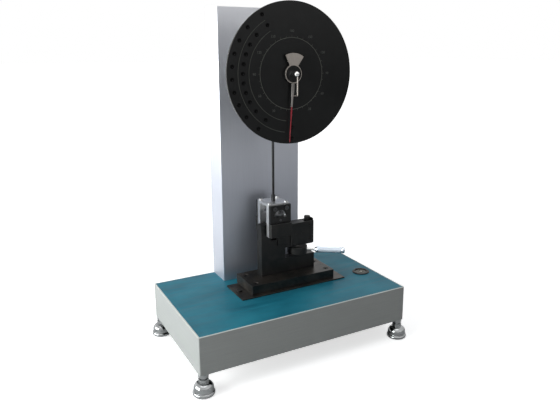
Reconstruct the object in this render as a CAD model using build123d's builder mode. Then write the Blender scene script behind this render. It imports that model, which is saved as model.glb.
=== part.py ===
"""Izod impact tester: a pendulum hammer that breaks a small bar held upright in a vise.

The origin is on the floor under the middle of the base. +X runs right along the
front of the base, +Y to the back and +Z up. All lengths are millimetres.
The pendulum hangs at rest, as it does after a test.
"""

import os
from math import acos, cos, degrees, radians, sin, tan

from build123d import *

os.makedirs("parts", exist_ok=True)

# Driving sizes of the whole machine
base_length = 525.0
base_depth = 315.0
base_height = 85.0
foot_height = 47.0
column_width = 211.0
column_depth = 69.0
column_head = 145.0
vise_height = 153.0
strike_rise = 22.0
strike_length = 335.0
swing_gap = 65.0
release_angle = 150.0
dial_radius = 150.5
dial_gap = 91.5
sheet = 2.0

# Clearances that every fit uses
slip = 0.3
running = 0.05
thread_gap = 0.05

# Levels and places that follow from them
base_bottom = foot_height
base_top = base_bottom + base_height
vise_top = base_top + vise_height
strike_z = vise_top + strike_rise
axis_z = strike_z + strike_length
column_top = axis_z + column_head
column_height = column_top - base_top
column_front = base_depth / 2 - column_depth
swing_y = column_front - swing_gap
dial_face_y = swing_y - dial_gap
swing_axis = Axis((0, 0, axis_z), (0, 1, 0))


def front(y):
    """Plane at depth y that faces the front; its own axes run along X and Z."""
    return Plane.XZ.offset(-y)


def level(z):
    """Plane at height z that faces up."""
    return Plane.XY.offset(z)


def side(x):
    """Plane at x that faces right; its own axes run along Y and Z."""
    return Plane.YZ.offset(x)


def dial_point(radius, angle):
    """Point on a dial plane; angle runs clockwise from straight down, in degrees."""
    turn = radians(angle)
    return (-radius * sin(turn), axis_z - radius * cos(turn))


def turned_on_axis(points):
    """Half profile of a piece that turns about the swing axis, from (y, radius) points."""
    with BuildSketch(Plane.YZ) as profile:
        with BuildLine():
            Polyline(*[(y, axis_z + radius) for y, radius in points], close=True)
        make_face()
    return profile.sketch


def upright_plane(x, y):
    """Plane through an upright axis at (x, y); its own axes run along X and Z."""
    return Plane(origin=(x, y, 0), x_dir=(1, 0, 0), z_dir=(0, -1, 0))


def upright_axis(x, y):
    """Upright axis through (x, y)."""
    return Axis((x, y, 0), (0, 0, 1))


def keep(builder, name):
    """Names a finished piece and writes it to its own file."""
    builder.part.label = name
    export_step(builder.part, f"parts/{name}.step")


# Base: a stiff hollow frame, a coloured top sheet let into it, and a bottom cover
base_wall = 6.0
base_corner = 2.5
rim_width = 3.0
panel_thickness = 2.0
deck_thickness = 10.0
bottom_cover_thickness = 2.0
rib_thickness = 8.0
rib_x = 92.0
block_size = 30.0
foot_inset_x = 10.5
foot_inset_y = 9.5
stem_radius = 6.0
stem_reach = 42.0
foot_lift = 2.5
cover_screw_radius = 2.0
cover_screw_inset = 60.0
sheet_screw_head_radius = 3.8
sheet_screw_head = 2.2
sheet_screw_length = 8.0

deck_top = base_top - panel_thickness
deck_bottom = deck_top - deck_thickness
foot_x = base_length / 2 - foot_inset_x
foot_y = base_depth / 2 - foot_inset_y
feet = {
    "front_left": (-foot_x, -foot_y),
    "front_right": (foot_x, -foot_y),
    "rear_left": (-foot_x, foot_y),
    "rear_right": (foot_x, foot_y),
}
block_x = base_length / 2 - base_wall / 2 - block_size / 2
block_y = base_depth / 2 - base_wall / 2 - block_size / 2
inner_length = base_length - 2 * base_wall
inner_depth = base_depth - 2 * base_wall
rib_points = [(-rib_x, 0), (rib_x, 0)]
bottom_screw_points = [
    (x, y) for x in (-rib_x, rib_x) for y in (-cover_screw_inset, cover_screw_inset)
]

# Mast bolts, vise bolts and the bubble level share their places with the base
mast_bolt_radius = 5.0
mast_bolt_edge = 11.0
mast_bolt_spread = 40.0
mast_foot_edge = 25.0
mast_side_gap = 8.5
mast_depth = 50.0
mast_wall = 6.0
mast_gap = 4.0
mast_top_gap = 25.0
mast_foot_depth = 58.0
mast_foot_thickness = 12.0
bed_screw_radius = 4.0
sole_left = -113.5
sole_level_gap = 60.0
sole_reach_front = 64.5
sole_reach_back = 30.0
bed_left = -84.0
bed_inset = 27.0
bed_reach_front = 55.5
bed_reach_back = 36.5
bed_screw_edge = 15.0
sole_screw_edge = 13.5
level_edge_x = 35.5
level_edge_y = 131.0
level_flange_radius = 21.5
level_body_radius = 17.5
level_depth = 9.0

level_x = base_length / 2 - level_edge_x
level_y = level_edge_y - base_depth / 2
sole_right = level_x - sole_level_gap
sole_front = swing_y - sole_reach_front
sole_back = swing_y + sole_reach_back
bed_right = sole_right - bed_inset
bed_front = swing_y - bed_reach_front
bed_back = swing_y + bed_reach_back
mast_foot_width = column_width - 2 * (sheet + mast_side_gap)
mast_width = mast_foot_width - 2 * mast_foot_edge
mast_bolt_x = mast_foot_width / 2 - mast_bolt_edge
mast_front = column_front + mast_gap
mast_foot_middle_y = mast_front + mast_foot_depth / 2
mast_bolt_points = [
    (x, mast_foot_middle_y + y)
    for x in (-mast_bolt_x, mast_bolt_x)
    for y in (-mast_bolt_spread / 2, mast_bolt_spread / 2)
]
bed_screw_points = [
    (x, y)
    for x in (bed_left + bed_screw_edge, bed_right - bed_screw_edge)
    for y in (bed_front + bed_screw_edge, bed_back - bed_screw_edge - (bed_back - sole_back))
]
sole_middle_y = (sole_front + sole_back) / 2
sole_screw_points = [
    (sole_left + sole_screw_edge, sole_middle_y),
    (sole_right - sole_screw_edge, sole_middle_y),
]

with BuildPart() as base_frame:
    with BuildSketch(level(base_bottom)):
        Rectangle(base_length, base_depth)
    extrude(amount=base_height)
    fillet(base_frame.edges().filter_by(Axis.Z), base_corner)
    with BuildSketch(level(base_bottom)):
        Rectangle(inner_length, inner_depth)
    extrude(amount=deck_bottom - base_bottom, mode=Mode.SUBTRACT)
    with BuildSketch(level(base_bottom)):
        with GridLocations(2 * block_x, 2 * block_y, 2, 2):
            Rectangle(block_size, block_size)
    extrude(amount=deck_bottom - base_bottom)
    with BuildSketch(level(base_bottom + bottom_cover_thickness)):
        with Locations(*rib_points):
            Rectangle(rib_thickness, inner_depth)
    extrude(amount=deck_bottom - base_bottom - bottom_cover_thickness)
    with BuildSketch(level(base_top)):
        Rectangle(base_length - 2 * rim_width, base_depth - 2 * rim_width)
    extrude(amount=-panel_thickness, mode=Mode.SUBTRACT)
    with BuildSketch(level(base_bottom)):
        with Locations(*feet.values()):
            Circle(stem_radius + running)
    extrude(amount=stem_reach + foot_lift + slip, mode=Mode.SUBTRACT)
    with BuildSketch(level(deck_top)):
        with Locations(*mast_bolt_points):
            Circle(mast_bolt_radius + thread_gap)
        with Locations(*bed_screw_points):
            Circle(bed_screw_radius + thread_gap)
        with Locations(*sole_screw_points):
            Circle(bed_screw_radius + thread_gap)
    extrude(amount=-deck_thickness, mode=Mode.SUBTRACT)
    with BuildSketch(level(deck_top)):
        with Locations((level_x, level_y)):
            Circle(level_body_radius + slip)
    extrude(amount=panel_thickness - level_depth - slip, mode=Mode.SUBTRACT)
    with BuildSketch(level(base_bottom + bottom_cover_thickness)):
        with Locations(*bottom_screw_points):
            Circle(cover_screw_radius + thread_gap)
    extrude(amount=sheet_screw_length, mode=Mode.SUBTRACT)
keep(base_frame, "base_frame")

# Mast foot plate outline, which the top sheet leaves free
panel_gap = 1.0
mast_middle_y = mast_front + mast_depth / 2

with BuildPart() as top_panel:
    with BuildSketch(level(deck_top)):
        Rectangle(base_length - 2 * rim_width - 2 * slip, base_depth - 2 * rim_width - 2 * slip)
        with Locations((0, mast_foot_middle_y)):
            Rectangle(
                mast_foot_width + 2 * panel_gap, mast_foot_depth + 2 * panel_gap, mode=Mode.SUBTRACT
            )
        with Locations(*bed_screw_points):
            Circle(bed_screw_radius + slip, mode=Mode.SUBTRACT)
        with Locations(*sole_screw_points):
            Circle(bed_screw_radius + slip, mode=Mode.SUBTRACT)
        with Locations((level_x, level_y)):
            Circle(level_body_radius + slip, mode=Mode.SUBTRACT)
    extrude(amount=panel_thickness)
keep(top_panel, "top_panel")

with BuildPart() as bottom_cover:
    with BuildSketch(level(base_bottom)):
        Rectangle(inner_length - 2 * slip, inner_depth - 2 * slip)
        with GridLocations(2 * block_x, 2 * block_y, 2, 2):
            Rectangle(block_size + 2 * slip, block_size + 2 * slip, mode=Mode.SUBTRACT)
        with Locations(*bottom_screw_points):
            Circle(cover_screw_radius + thread_gap, mode=Mode.SUBTRACT)
    extrude(amount=bottom_cover_thickness)
keep(bottom_cover, "bottom_cover")

# Levelling feet: a turned pad pressed on a threaded stem, with a lock nut above it
pad_radius = 23.5
pad_shoulder_radius = 21.0
pad_sole_radius = 18.5
pad_neck_radius = 11.0
pad_height = 27.0
pad_rim_height = 9.7
pad_shoulder_height = 15.0
pad_bore_radius = 7.0
pad_bore_floor = 8.0
stem_hex = 19.0
stem_hex_height = 9.0
locknut_hex = 19.0
locknut_height = 8.0


def dome_point(share):
    """Point on the pad's dome, from share 0 at the shoulder to 1 at the neck."""
    turn = radians(90 * share)
    dome_height = pad_height - pad_shoulder_height
    dome_width = pad_shoulder_radius - pad_neck_radius
    return (pad_neck_radius + dome_width * cos(turn), pad_shoulder_height + dome_height * sin(turn))


def pad_profile(x, y):
    """Half profile of a foot pad: a rounded rim below a domed shoulder."""
    with BuildSketch(upright_plane(x, y)) as profile:
        with BuildLine():
            Polyline(
                (pad_bore_radius, pad_height),
                (pad_bore_radius, pad_bore_floor),
                (0, pad_bore_floor),
                (0, 0),
                (pad_sole_radius, 0),
                (pad_radius, pad_radius - pad_sole_radius),
                (pad_radius, pad_rim_height),
                (pad_shoulder_radius, pad_rim_height + pad_radius - pad_shoulder_radius),
                *[dome_point(share) for share in (0, 1 / 3, 2 / 3, 1)],
                close=True,
            )
        make_face()
    return profile.sketch


for corner, (x, y) in feet.items():
    with BuildPart() as foot_pad:
        revolve(pad_profile(x, y), axis=upright_axis(x, y))
    keep(foot_pad, f"foot_pad_{corner}")

    with BuildPart() as foot_stem:
        with BuildSketch(level(pad_bore_floor)):
            with Locations((x, y)):
                Circle(pad_bore_radius - running)
        extrude(amount=pad_height - pad_bore_floor)
        with BuildSketch(level(pad_height)):
            with Locations((x, y)):
                RegularPolygon(stem_hex / 2, 6, major_radius=False, rotation=30)
        extrude(amount=stem_hex_height)
        with BuildSketch(level(pad_height + stem_hex_height)):
            with Locations((x, y)):
                Circle(stem_radius)
        extrude(amount=foot_height + stem_reach - pad_height - stem_hex_height)
    keep(foot_stem, f"foot_stem_{corner}")

with BuildPart() as foot_locknuts:
    with BuildSketch(level(foot_height - locknut_height)):
        with Locations(*feet.values()):
            RegularPolygon(locknut_hex / 2, 6, major_radius=False, rotation=30)
            Circle(stem_radius + running, mode=Mode.SUBTRACT)
    extrude(amount=locknut_height)
keep(foot_locknuts, "foot_locknuts")

# Round bubble level let into the top of the base
level_flange = 2.6
level_wall = 1.5
level_floor = 2.0
level_glass_drop = 0.6

with BuildPart() as level_case:
    with BuildSketch(level(base_top)):
        with Locations((level_x, level_y)):
            Circle(level_flange_radius)
    extrude(amount=level_flange)
    chamfer(level_case.edges().group_by(Axis.Z)[-1], level_flange / 2)
    with BuildSketch(level(base_top)):
        with Locations((level_x, level_y)):
            Circle(level_body_radius)
    extrude(amount=-level_depth)
    with BuildSketch(level(base_top + level_flange)):
        with Locations((level_x, level_y)):
            Circle(level_body_radius - level_wall)
    extrude(amount=level_floor - level_flange - level_depth, mode=Mode.SUBTRACT)
keep(level_case, "level_case")

with BuildPart() as level_glass:
    with BuildSketch(level(base_top - level_depth + level_floor)):
        with Locations((level_x, level_y)):
            Circle(level_body_radius - level_wall - running)
    extrude(amount=level_depth - level_floor + level_flange - level_glass_drop)
keep(level_glass, "level_glass")

# Column: a bent sheet cover around a stiff mast, closed by a screwed back cover
flange_width = 14.0
back_cover_thickness = 1.5
back_screw_edge = 9.0
back_screw_rows = 4
housing_radius = 45.0
housing_flange = 10.0
housing_boss_radius = 30.0
housing_boss = 30.0
housing_body_radius = 28.0
housing_body = 52.0
housing_screw_circle = 37.5
housing_screw_radius = 3.0
pillar_x = 24.0
pillar_rise = 97.0
pillar_radius = 8.0
pillar_screw_radius = 4.0
latch_pivot_x = 62.0
latch_pivot_drop = 20.0
latch_post_radius = 5.0
latch_flange_radius = 12.0
quarter_turn = 90

housing_front = column_front - housing_flange - housing_boss
pillar_points = [(-pillar_x, axis_z + pillar_rise), (pillar_x, axis_z + pillar_rise)]
latch_pivot = (latch_pivot_x, axis_z - latch_pivot_drop)
housing_screw_points = [
    dial_point(housing_screw_circle, quarter_turn * (turn + 0.5)) for turn in range(4)
]
back_screw_points = [
    (x, base_top + column_height * (row + 0.5) / back_screw_rows)
    for x in (back_screw_edge + sheet - column_width / 2, column_width / 2 - sheet - back_screw_edge)
    for row in range(back_screw_rows)
]

with BuildPart() as column_cover:
    with BuildSketch(level(base_top)):
        with Locations((0, base_depth / 2 - column_depth / 2)):
            Rectangle(column_width, column_depth)
    extrude(amount=column_height)
    fillet(column_cover.edges().filter_by(Axis.Z).group_by(Axis.Y)[0], sheet)
    with BuildSketch(level(base_top)):
        with Locations((0, base_depth / 2 - column_depth / 2 + sheet / 2)):
            Rectangle(column_width - 2 * sheet, column_depth - sheet)
    extrude(amount=column_height - sheet, mode=Mode.SUBTRACT)
    flange_middle = column_width / 2 - sheet - flange_width / 2
    with BuildSketch(front(base_depth / 2 - back_cover_thickness)):
        with Locations(*[(x, base_top + column_height / 2) for x in (-flange_middle, flange_middle)]):
            Rectangle(flange_width, column_height - 2 * sheet)
    extrude(amount=sheet)
    with BuildSketch(front(base_depth / 2)):
        with Locations(*back_screw_points):
            Circle(cover_screw_radius + thread_gap)
    extrude(amount=2 * sheet + back_cover_thickness, mode=Mode.SUBTRACT)
    with BuildSketch(front(column_front)):
        with Locations((0, axis_z)):
            Circle(housing_body_radius + slip)
        with Locations(*housing_screw_points):
            Circle(housing_screw_radius + slip)
        with Locations(*pillar_points):
            Circle(pillar_screw_radius + slip)
        with Locations(latch_pivot):
            Circle(latch_post_radius + slip)
    extrude(amount=-sheet, mode=Mode.SUBTRACT)
keep(column_cover, "column_cover")

with BuildPart() as column_back_cover:
    with BuildSketch(front(base_depth / 2)):
        with Locations((0, base_top + (column_height - sheet) / 2)):
            Rectangle(column_width - 2 * sheet - 2 * slip, column_height - sheet - 2 * slip)
        with Locations(*back_screw_points):
            Circle(cover_screw_radius + thread_gap, mode=Mode.SUBTRACT)
    extrude(amount=back_cover_thickness)
keep(column_back_cover, "column_back_cover")

socket_share = 0.48


def socket_head(head_radius):
    """Round screw head with a hexagon socket, whose floor is the shank that the head is on."""
    Circle(head_radius)
    RegularPolygon(socket_share * head_radius, 6, mode=Mode.SUBTRACT)


with BuildPart() as sheet_screws:
    with BuildSketch(front(base_depth / 2)):
        with Locations(*back_screw_points):
            socket_head(sheet_screw_head_radius)
    extrude(amount=-sheet_screw_head)
    with BuildSketch(front(base_depth / 2)):
        with Locations(*back_screw_points):
            Circle(cover_screw_radius)
    extrude(amount=sheet_screw_length)
    with BuildSketch(level(base_bottom)):
        with Locations(*bottom_screw_points):
            socket_head(sheet_screw_head_radius)
    extrude(amount=-sheet_screw_head)
    with BuildSketch(level(base_bottom)):
        with Locations(*bottom_screw_points):
            Circle(cover_screw_radius)
    extrude(amount=sheet_screw_length)
keep(sheet_screws, "sheet_screws")

# Mast: a box tube welded to a foot plate, with a front pad that backs the cover
pad_square = 100.0
mast_top = column_top - mast_top_gap
mast_foot_top = deck_top + mast_foot_thickness
mast_pad_depth = mast_gap - sheet

with BuildPart() as mast:
    with BuildSketch(level(deck_top)):
        with Locations((0, mast_foot_middle_y)):
            Rectangle(mast_foot_width, mast_foot_depth)
        with Locations(*mast_bolt_points):
            Circle(mast_bolt_radius + slip, mode=Mode.SUBTRACT)
    extrude(amount=mast_foot_thickness)
    with BuildSketch(level(mast_foot_top)):
        with Locations((0, mast_middle_y)):
            Rectangle(mast_width, mast_depth)
            Rectangle(mast_width - 2 * mast_wall, mast_depth - 2 * mast_wall, mode=Mode.SUBTRACT)
    extrude(amount=mast_top - mast_foot_top)
    with BuildSketch(front(mast_front)):
        with Locations((0, axis_z)):
            Rectangle(pad_square, pad_square)
        with Locations(*pillar_points):
            Circle(pillar_radius)
        with Locations(latch_pivot):
            Circle(pillar_radius)
    extrude(amount=mast_pad_depth)
    with BuildSketch(front(mast_front - mast_pad_depth)):
        with Locations((0, axis_z)):
            Circle(housing_body_radius + running)
    extrude(amount=-mast_pad_depth - mast_depth, mode=Mode.SUBTRACT)
    with BuildSketch(front(mast_front - mast_pad_depth)):
        with Locations(*housing_screw_points):
            Circle(housing_screw_radius + thread_gap)
        with Locations(*pillar_points):
            Circle(pillar_screw_radius + thread_gap)
        with Locations(latch_pivot):
            Circle(latch_post_radius + thread_gap)
    extrude(amount=-mast_pad_depth - mast_wall, mode=Mode.SUBTRACT)
keep(mast, "mast")

bolt_head = 7.0
bolt_head_radius = 8.5

with BuildPart() as mast_bolts:
    with BuildSketch(level(mast_foot_top)):
        with Locations(*mast_bolt_points):
            RegularPolygon(bolt_head_radius, 6, major_radius=False)
    extrude(amount=bolt_head)
    with BuildSketch(level(mast_foot_top)):
        with Locations(*mast_bolt_points):
            Circle(mast_bolt_radius)
    extrude(amount=deck_bottom + slip - mast_foot_top)
keep(mast_bolts, "mast_bolts")

# Bearings and the housing that carries the pendulum's shaft
bearing_radius = 17.5
bearing_width = 11.0
bearing_bore = 7.5
bearing_inner_ring = 10.6
bearing_shield_gap = 0.4
housing_bore = 14.0
housing_back = column_front + housing_body

front_bearing_radius = 16.0
front_bearing_width = 10.0
front_bearing_bore = 6.0
front_bearing_inner_ring = 8.8
bracket_thickness = 12.0
dial_thickness = 5.0
dial_back = dial_face_y + dial_thickness
bracket_back = dial_back + bracket_thickness

bearings = [
    (housing_front, bearing_width, bearing_radius, bearing_bore, bearing_inner_ring),
    (housing_back - bearing_width, bearing_width, bearing_radius, bearing_bore, bearing_inner_ring),
    (
        bracket_back - front_bearing_width,
        front_bearing_width,
        front_bearing_radius,
        front_bearing_bore,
        front_bearing_inner_ring,
    ),
]

with BuildPart() as bearing_housing:
    housing_outline = [
        (housing_front, bearing_radius + running),
        (housing_front, housing_boss_radius),
        (column_front - housing_flange, housing_boss_radius),
        (column_front - housing_flange, housing_radius),
        (column_front, housing_radius),
        (column_front, housing_body_radius),
        (housing_back, housing_body_radius),
        (housing_back, bearing_radius + running),
        (housing_back - bearing_width, bearing_radius + running),
        (housing_back - bearing_width, housing_bore),
        (housing_front + bearing_width, housing_bore),
        (housing_front + bearing_width, bearing_radius + running),
    ]
    revolve(turned_on_axis(housing_outline), axis=swing_axis)
    with BuildSketch(front(column_front)):
        with Locations(*housing_screw_points):
            Circle(housing_screw_radius + slip)
    extrude(amount=housing_flange, mode=Mode.SUBTRACT)
keep(bearing_housing, "bearing_housing")

with BuildPart() as bearing_outer_rings:
    for start, width, outer, bore, inner in bearings:
        ring = [
            (start, inner + bearing_shield_gap),
            (start, outer),
            (start + width, outer),
            (start + width, inner + bearing_shield_gap),
        ]
        revolve(turned_on_axis(ring), axis=swing_axis)
keep(bearing_outer_rings, "bearing_outer_rings")

with BuildPart() as bearing_inner_rings:
    for start, width, outer, bore, inner in bearings:
        ring = [
            (start, bore + running),
            (start, inner),
            (start + width, inner),
            (start + width, bore + running),
        ]
        revolve(turned_on_axis(ring), axis=swing_axis)
keep(bearing_inner_rings, "bearing_inner_rings")

housing_screw_head = 6.0
housing_screw_head_radius = 5.0

with BuildPart() as housing_screws:
    with BuildSketch(front(column_front - housing_flange)):
        with Locations(*housing_screw_points):
            socket_head(housing_screw_head_radius)
    extrude(amount=housing_screw_head)
    with BuildSketch(front(column_front - housing_flange)):
        with Locations(*housing_screw_points):
            Circle(housing_screw_radius)
    extrude(amount=-housing_flange - mast_gap - mast_wall)
keep(housing_screws, "housing_screws")

# Dial bracket: two pillars reach over the swinging rod to a plate behind the dial
bracket_width = 72.0
bracket_foot_radius = 34.0
bracket_margin = 16.0
bracket_top = pillar_rise + bracket_margin
bracket_corner = 10.0
bracket_lip = 2.0
dial_screw_radius = 2.0
dial_screw_circle = 26.0
dial_screw_depth = 3.5
dial_screw_head_radius = 3.6
dial_screw_head = 3.0
dial_screw_points = [dial_point(dial_screw_circle, quarter_turn * turn) for turn in (0, 1, 3)]

with BuildPart() as dial_pillars:
    with BuildSketch(front(column_front)):
        with Locations(*pillar_points):
            Circle(pillar_radius)
    extrude(amount=column_front - bracket_back)
    with BuildSketch(front(column_front)):
        with Locations(*pillar_points):
            Circle(pillar_screw_radius)
    extrude(amount=-mast_gap - mast_wall)
    with BuildSketch(front(bracket_back)):
        with Locations(*pillar_points):
            Circle(pillar_screw_radius)
    extrude(amount=bracket_thickness - slip)
keep(dial_pillars, "dial_pillars")

with BuildPart() as dial_bracket:
    with BuildSketch(front(bracket_back)):
        with Locations((0, axis_z)):
            Circle(bracket_foot_radius)
        with Locations((0, axis_z + bracket_top / 2)):
            Rectangle(bracket_width, bracket_top)
    extrude(amount=bracket_thickness)
    fillet(dial_bracket.edges().filter_by(Axis.Y).group_by(Axis.Z)[-1], bracket_corner)
    bearing_seat = [
        (bracket_back, 0),
        (bracket_back, front_bearing_radius + running),
        (bracket_back - front_bearing_width, front_bearing_radius + running),
        (bracket_back - front_bearing_width, front_bearing_inner_ring + bracket_lip),
        (dial_back, front_bearing_inner_ring + bracket_lip),
        (dial_back, 0),
    ]
    revolve(turned_on_axis(bearing_seat), axis=swing_axis, mode=Mode.SUBTRACT)
    with BuildSketch(front(bracket_back)):
        with Locations(*pillar_points):
            Circle(pillar_screw_radius + thread_gap)
        with Locations(*dial_screw_points):
            Circle(dial_screw_radius + thread_gap)
    extrude(amount=bracket_thickness, mode=Mode.SUBTRACT)
keep(dial_bracket, "dial_bracket")

with BuildPart() as dial_screws:
    with BuildSketch(front(bracket_back)):
        with Locations(*dial_screw_points):
            socket_head(dial_screw_head_radius)
    extrude(amount=-dial_screw_head)
    with BuildSketch(front(bracket_back)):
        with Locations(*dial_screw_points):
            Circle(dial_screw_radius)
    extrude(amount=bracket_thickness + dial_screw_depth)
keep(dial_screws, "dial_screws")

# Dial: two part rings of marks give the energy that a swing to that angle leaves.
# A swing that ends at angle b has lost E * (cos b - cos release) / (1 - cos release).
mark_radius = 4.4
mark_depth = 1.2
inner_mark_circle = 114.5
outer_mark_circle = 139.0
inner_mark_steps = 11
outer_mark_steps = 10
bush_radius = 17.0
bush_shank = 10.0
bush_relief = 1.0


def energy_angle(step, steps):
    """Angle of the dial mark for step out of steps of the full energy, in degrees."""
    full = 1 - cos(radians(release_angle))
    return degrees(acos(1 - full * (1 - step / steps)))


mark_points = [
    dial_point(circle, energy_angle(step, steps))
    for circle, steps in ((inner_mark_circle, inner_mark_steps), (outer_mark_circle, outer_mark_steps))
    for step in range(steps + 1)
]

with BuildPart() as dial_plate:
    with BuildSketch(front(dial_back)):
        with Locations((0, axis_z)):
            Circle(dial_radius)
            Circle(bush_shank + running, mode=Mode.SUBTRACT)
    extrude(amount=dial_thickness)
    with BuildSketch(front(dial_face_y)):
        with Locations(*mark_points):
            Circle(mark_radius)
    extrude(amount=-mark_depth, mode=Mode.SUBTRACT)
    with BuildSketch(front(dial_back)):
        with Locations(*dial_screw_points):
            Circle(dial_screw_radius + thread_gap)
    extrude(amount=dial_screw_depth, mode=Mode.SUBTRACT)
keep(dial_plate, "dial_plate")

# Pointer: a ring and counterweight cut from sheet, with a stepped needle riveted on
pointer_ring_radius = 20.0
pointer_fan_radius = 43.5
pointer_fan_angle = 61.0
pointer_sheet = 2.0
pointer_gap = 6.0
needle_sheet = 1.2
needle_angle = 4.0
needle_start = 18.4
needle_root_width = 7.0
needle_root_end = 50.0
needle_mid_width = 4.6
needle_mid_end = 83.0
needle_slim_width = 3.0
needle_tip_width = 1.2
needle_tip_end = 147.0
bush_shoulder_radius = 19.0
cap_radius = 17.9
cap_thickness = 2.0
cap_edge = 0.5
spindle_radius = 4.0
pointer_back = dial_face_y - pointer_gap
pointer_front = pointer_back - pointer_sheet

with BuildPart() as dial_bush:
    bush_outline = [
        (dial_back - bush_relief, spindle_radius + slip),
        (dial_back - bush_relief, bush_shank),
        (dial_face_y, bush_shank),
        (dial_face_y, bush_shoulder_radius),
        (pointer_back + running, bush_shoulder_radius),
        (pointer_back + running, bush_radius),
        (pointer_front - running, bush_radius),
        (pointer_front - running, spindle_radius + slip),
    ]
    revolve(turned_on_axis(bush_outline), axis=swing_axis)
keep(dial_bush, "dial_bush")

with BuildPart() as bush_cap:
    cap_outline = [
        (pointer_front - running, spindle_radius + slip),
        (pointer_front - running, cap_radius),
        (pointer_front - running - cap_thickness, cap_radius - cap_edge),
        (pointer_front - running - cap_thickness, spindle_radius + slip),
    ]
    revolve(turned_on_axis(cap_outline), axis=swing_axis)
keep(bush_cap, "bush_cap")

with BuildPart() as pointer_ring:
    with BuildSketch(front(pointer_back)):
        with BuildLine():
            fan_start = dial_point(pointer_fan_radius, needle_angle + 180 - pointer_fan_angle / 2)
            fan_middle = dial_point(pointer_fan_radius, needle_angle + 180)
            fan_end = dial_point(pointer_fan_radius, needle_angle + 180 + pointer_fan_angle / 2)
            ThreePointArc(fan_start, fan_middle, fan_end)
            Line(fan_end, (0, axis_z))
            Line((0, axis_z), fan_start)
        make_face()
        with Locations((0, axis_z)):
            Circle(pointer_ring_radius)
            Circle(bush_radius + running, mode=Mode.SUBTRACT)
    extrude(amount=pointer_sheet)
keep(pointer_ring, "pointer_ring")

needle_turn = radians(needle_angle)
needle_plane = Plane(
    origin=(0, pointer_front, axis_z),
    x_dir=(cos(needle_turn), 0, -sin(needle_turn)),
    z_dir=(0, -1, 0),
)

with BuildPart() as pointer_needle:
    needle_side = [
        (needle_root_width / 2, -needle_start),
        (needle_root_width / 2, -needle_root_end),
        (needle_mid_width / 2, -needle_root_end),
        (needle_mid_width / 2, -needle_mid_end),
        (needle_slim_width / 2, -needle_mid_end),
        (needle_tip_width / 2, -needle_tip_end),
    ]
    other_side = [(-x, y) for x, y in reversed(needle_side)]
    with BuildSketch(needle_plane):
        with BuildLine():
            Polyline(*needle_side, *other_side, close=True)
        make_face()
    extrude(amount=needle_sheet)
keep(pointer_needle, "pointer_needle")

# Driver: a bent finger on the shaft's front end that pushes the needle round
driver_ball_radius = 6.0
driver_stand = 21.0
driver_y = dial_face_y - driver_stand
finger_radius = 1.6
finger_reach = 46.0
finger_seat = 3.5
spindle_thread_radius = 2.5
spindle_end = driver_y + driver_ball_radius / 2
spindle_shoulder = pointer_front - cap_thickness - 2 * slip
finger_x = (
    -finger_reach * sin(needle_turn)
    + needle_root_width / 2 / cos(needle_turn)
    + slip
    + finger_radius
)

with BuildPart() as driver_ball:
    with Locations((0, driver_y, axis_z)):
        Sphere(driver_ball_radius)
    with BuildSketch(front(driver_y)):
        with Locations((0, axis_z)):
            Circle(spindle_radius)
    extrude(amount=driver_y - spindle_shoulder)
    with BuildSketch(front(spindle_shoulder)):
        with Locations((0, axis_z)):
            Circle(spindle_thread_radius + thread_gap)
    extrude(amount=spindle_shoulder - spindle_end, mode=Mode.SUBTRACT)
    with BuildSketch(level(axis_z - finger_seat)):
        with Locations((finger_x, driver_y)):
            Circle(finger_radius + thread_gap)
    extrude(amount=-driver_ball_radius, mode=Mode.SUBTRACT)
keep(driver_ball, "driver_ball")

with BuildPart() as driver_finger:
    finger_top = (finger_x, driver_y, axis_z - finger_seat)
    finger_corner = (finger_x, driver_y, axis_z - finger_reach)
    finger_tip = (finger_x, pointer_front, axis_z - finger_reach)
    with BuildLine() as finger_path:
        FilletPolyline(finger_top, finger_corner, finger_tip, radius=2 * finger_radius)
    with BuildSketch(level(finger_top[2])):
        with Locations((finger_x, driver_y)):
            Circle(finger_radius)
    sweep(path=finger_path.line)
keep(driver_finger, "driver_finger")

# Shaft: runs through both bearings, the hub, the bracket and the dial's bush
hub_length = 24.0
shaft_overhang = 4.0
shaft_end_gap = 2.0
hub_radius = 22.0
catch_width = 8.0
catch_radius = 34.0
catch_nose_radius = 41.0
catch_root = 2.0

hub_front = swing_y - hub_length / 2
hub_back = swing_y + hub_length / 2
catch_back = hub_back + catch_width

with BuildPart() as shaft:
    shaft_outline = [
        (housing_back + shaft_end_gap, 0),
        (housing_back + shaft_end_gap, bearing_bore),
        (hub_front - shaft_overhang, bearing_bore),
        (hub_front - shaft_overhang, front_bearing_bore),
        (dial_back + shaft_end_gap, front_bearing_bore),
        (dial_back + shaft_end_gap, spindle_radius),
        (spindle_shoulder, spindle_radius),
        (spindle_shoulder, spindle_thread_radius),
        (spindle_end + slip, spindle_thread_radius),
        (spindle_end + slip, 0),
    ]
    revolve(turned_on_axis(shaft_outline), axis=swing_axis)
keep(shaft, "shaft")

# Pendulum hub with a catch nose on its rear disc, for the release latch
latch_tooth_at = 120.0
latch_tooth_angle = 5.0
catch_nose_angle = 7.0
catch_gap_angle = 0.6
rod_radius = 3.0
rod_seat = 10.0
hub_screw_radius = 3.0
hub_screw_length = 13.0
nose_start = latch_tooth_at + latch_tooth_angle / 2 + catch_gap_angle - release_angle


def swing_point(radius, angle):
    """Point around the shaft; angle runs from straight down towards the right, in degrees."""
    return dial_point(radius, -angle)


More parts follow.
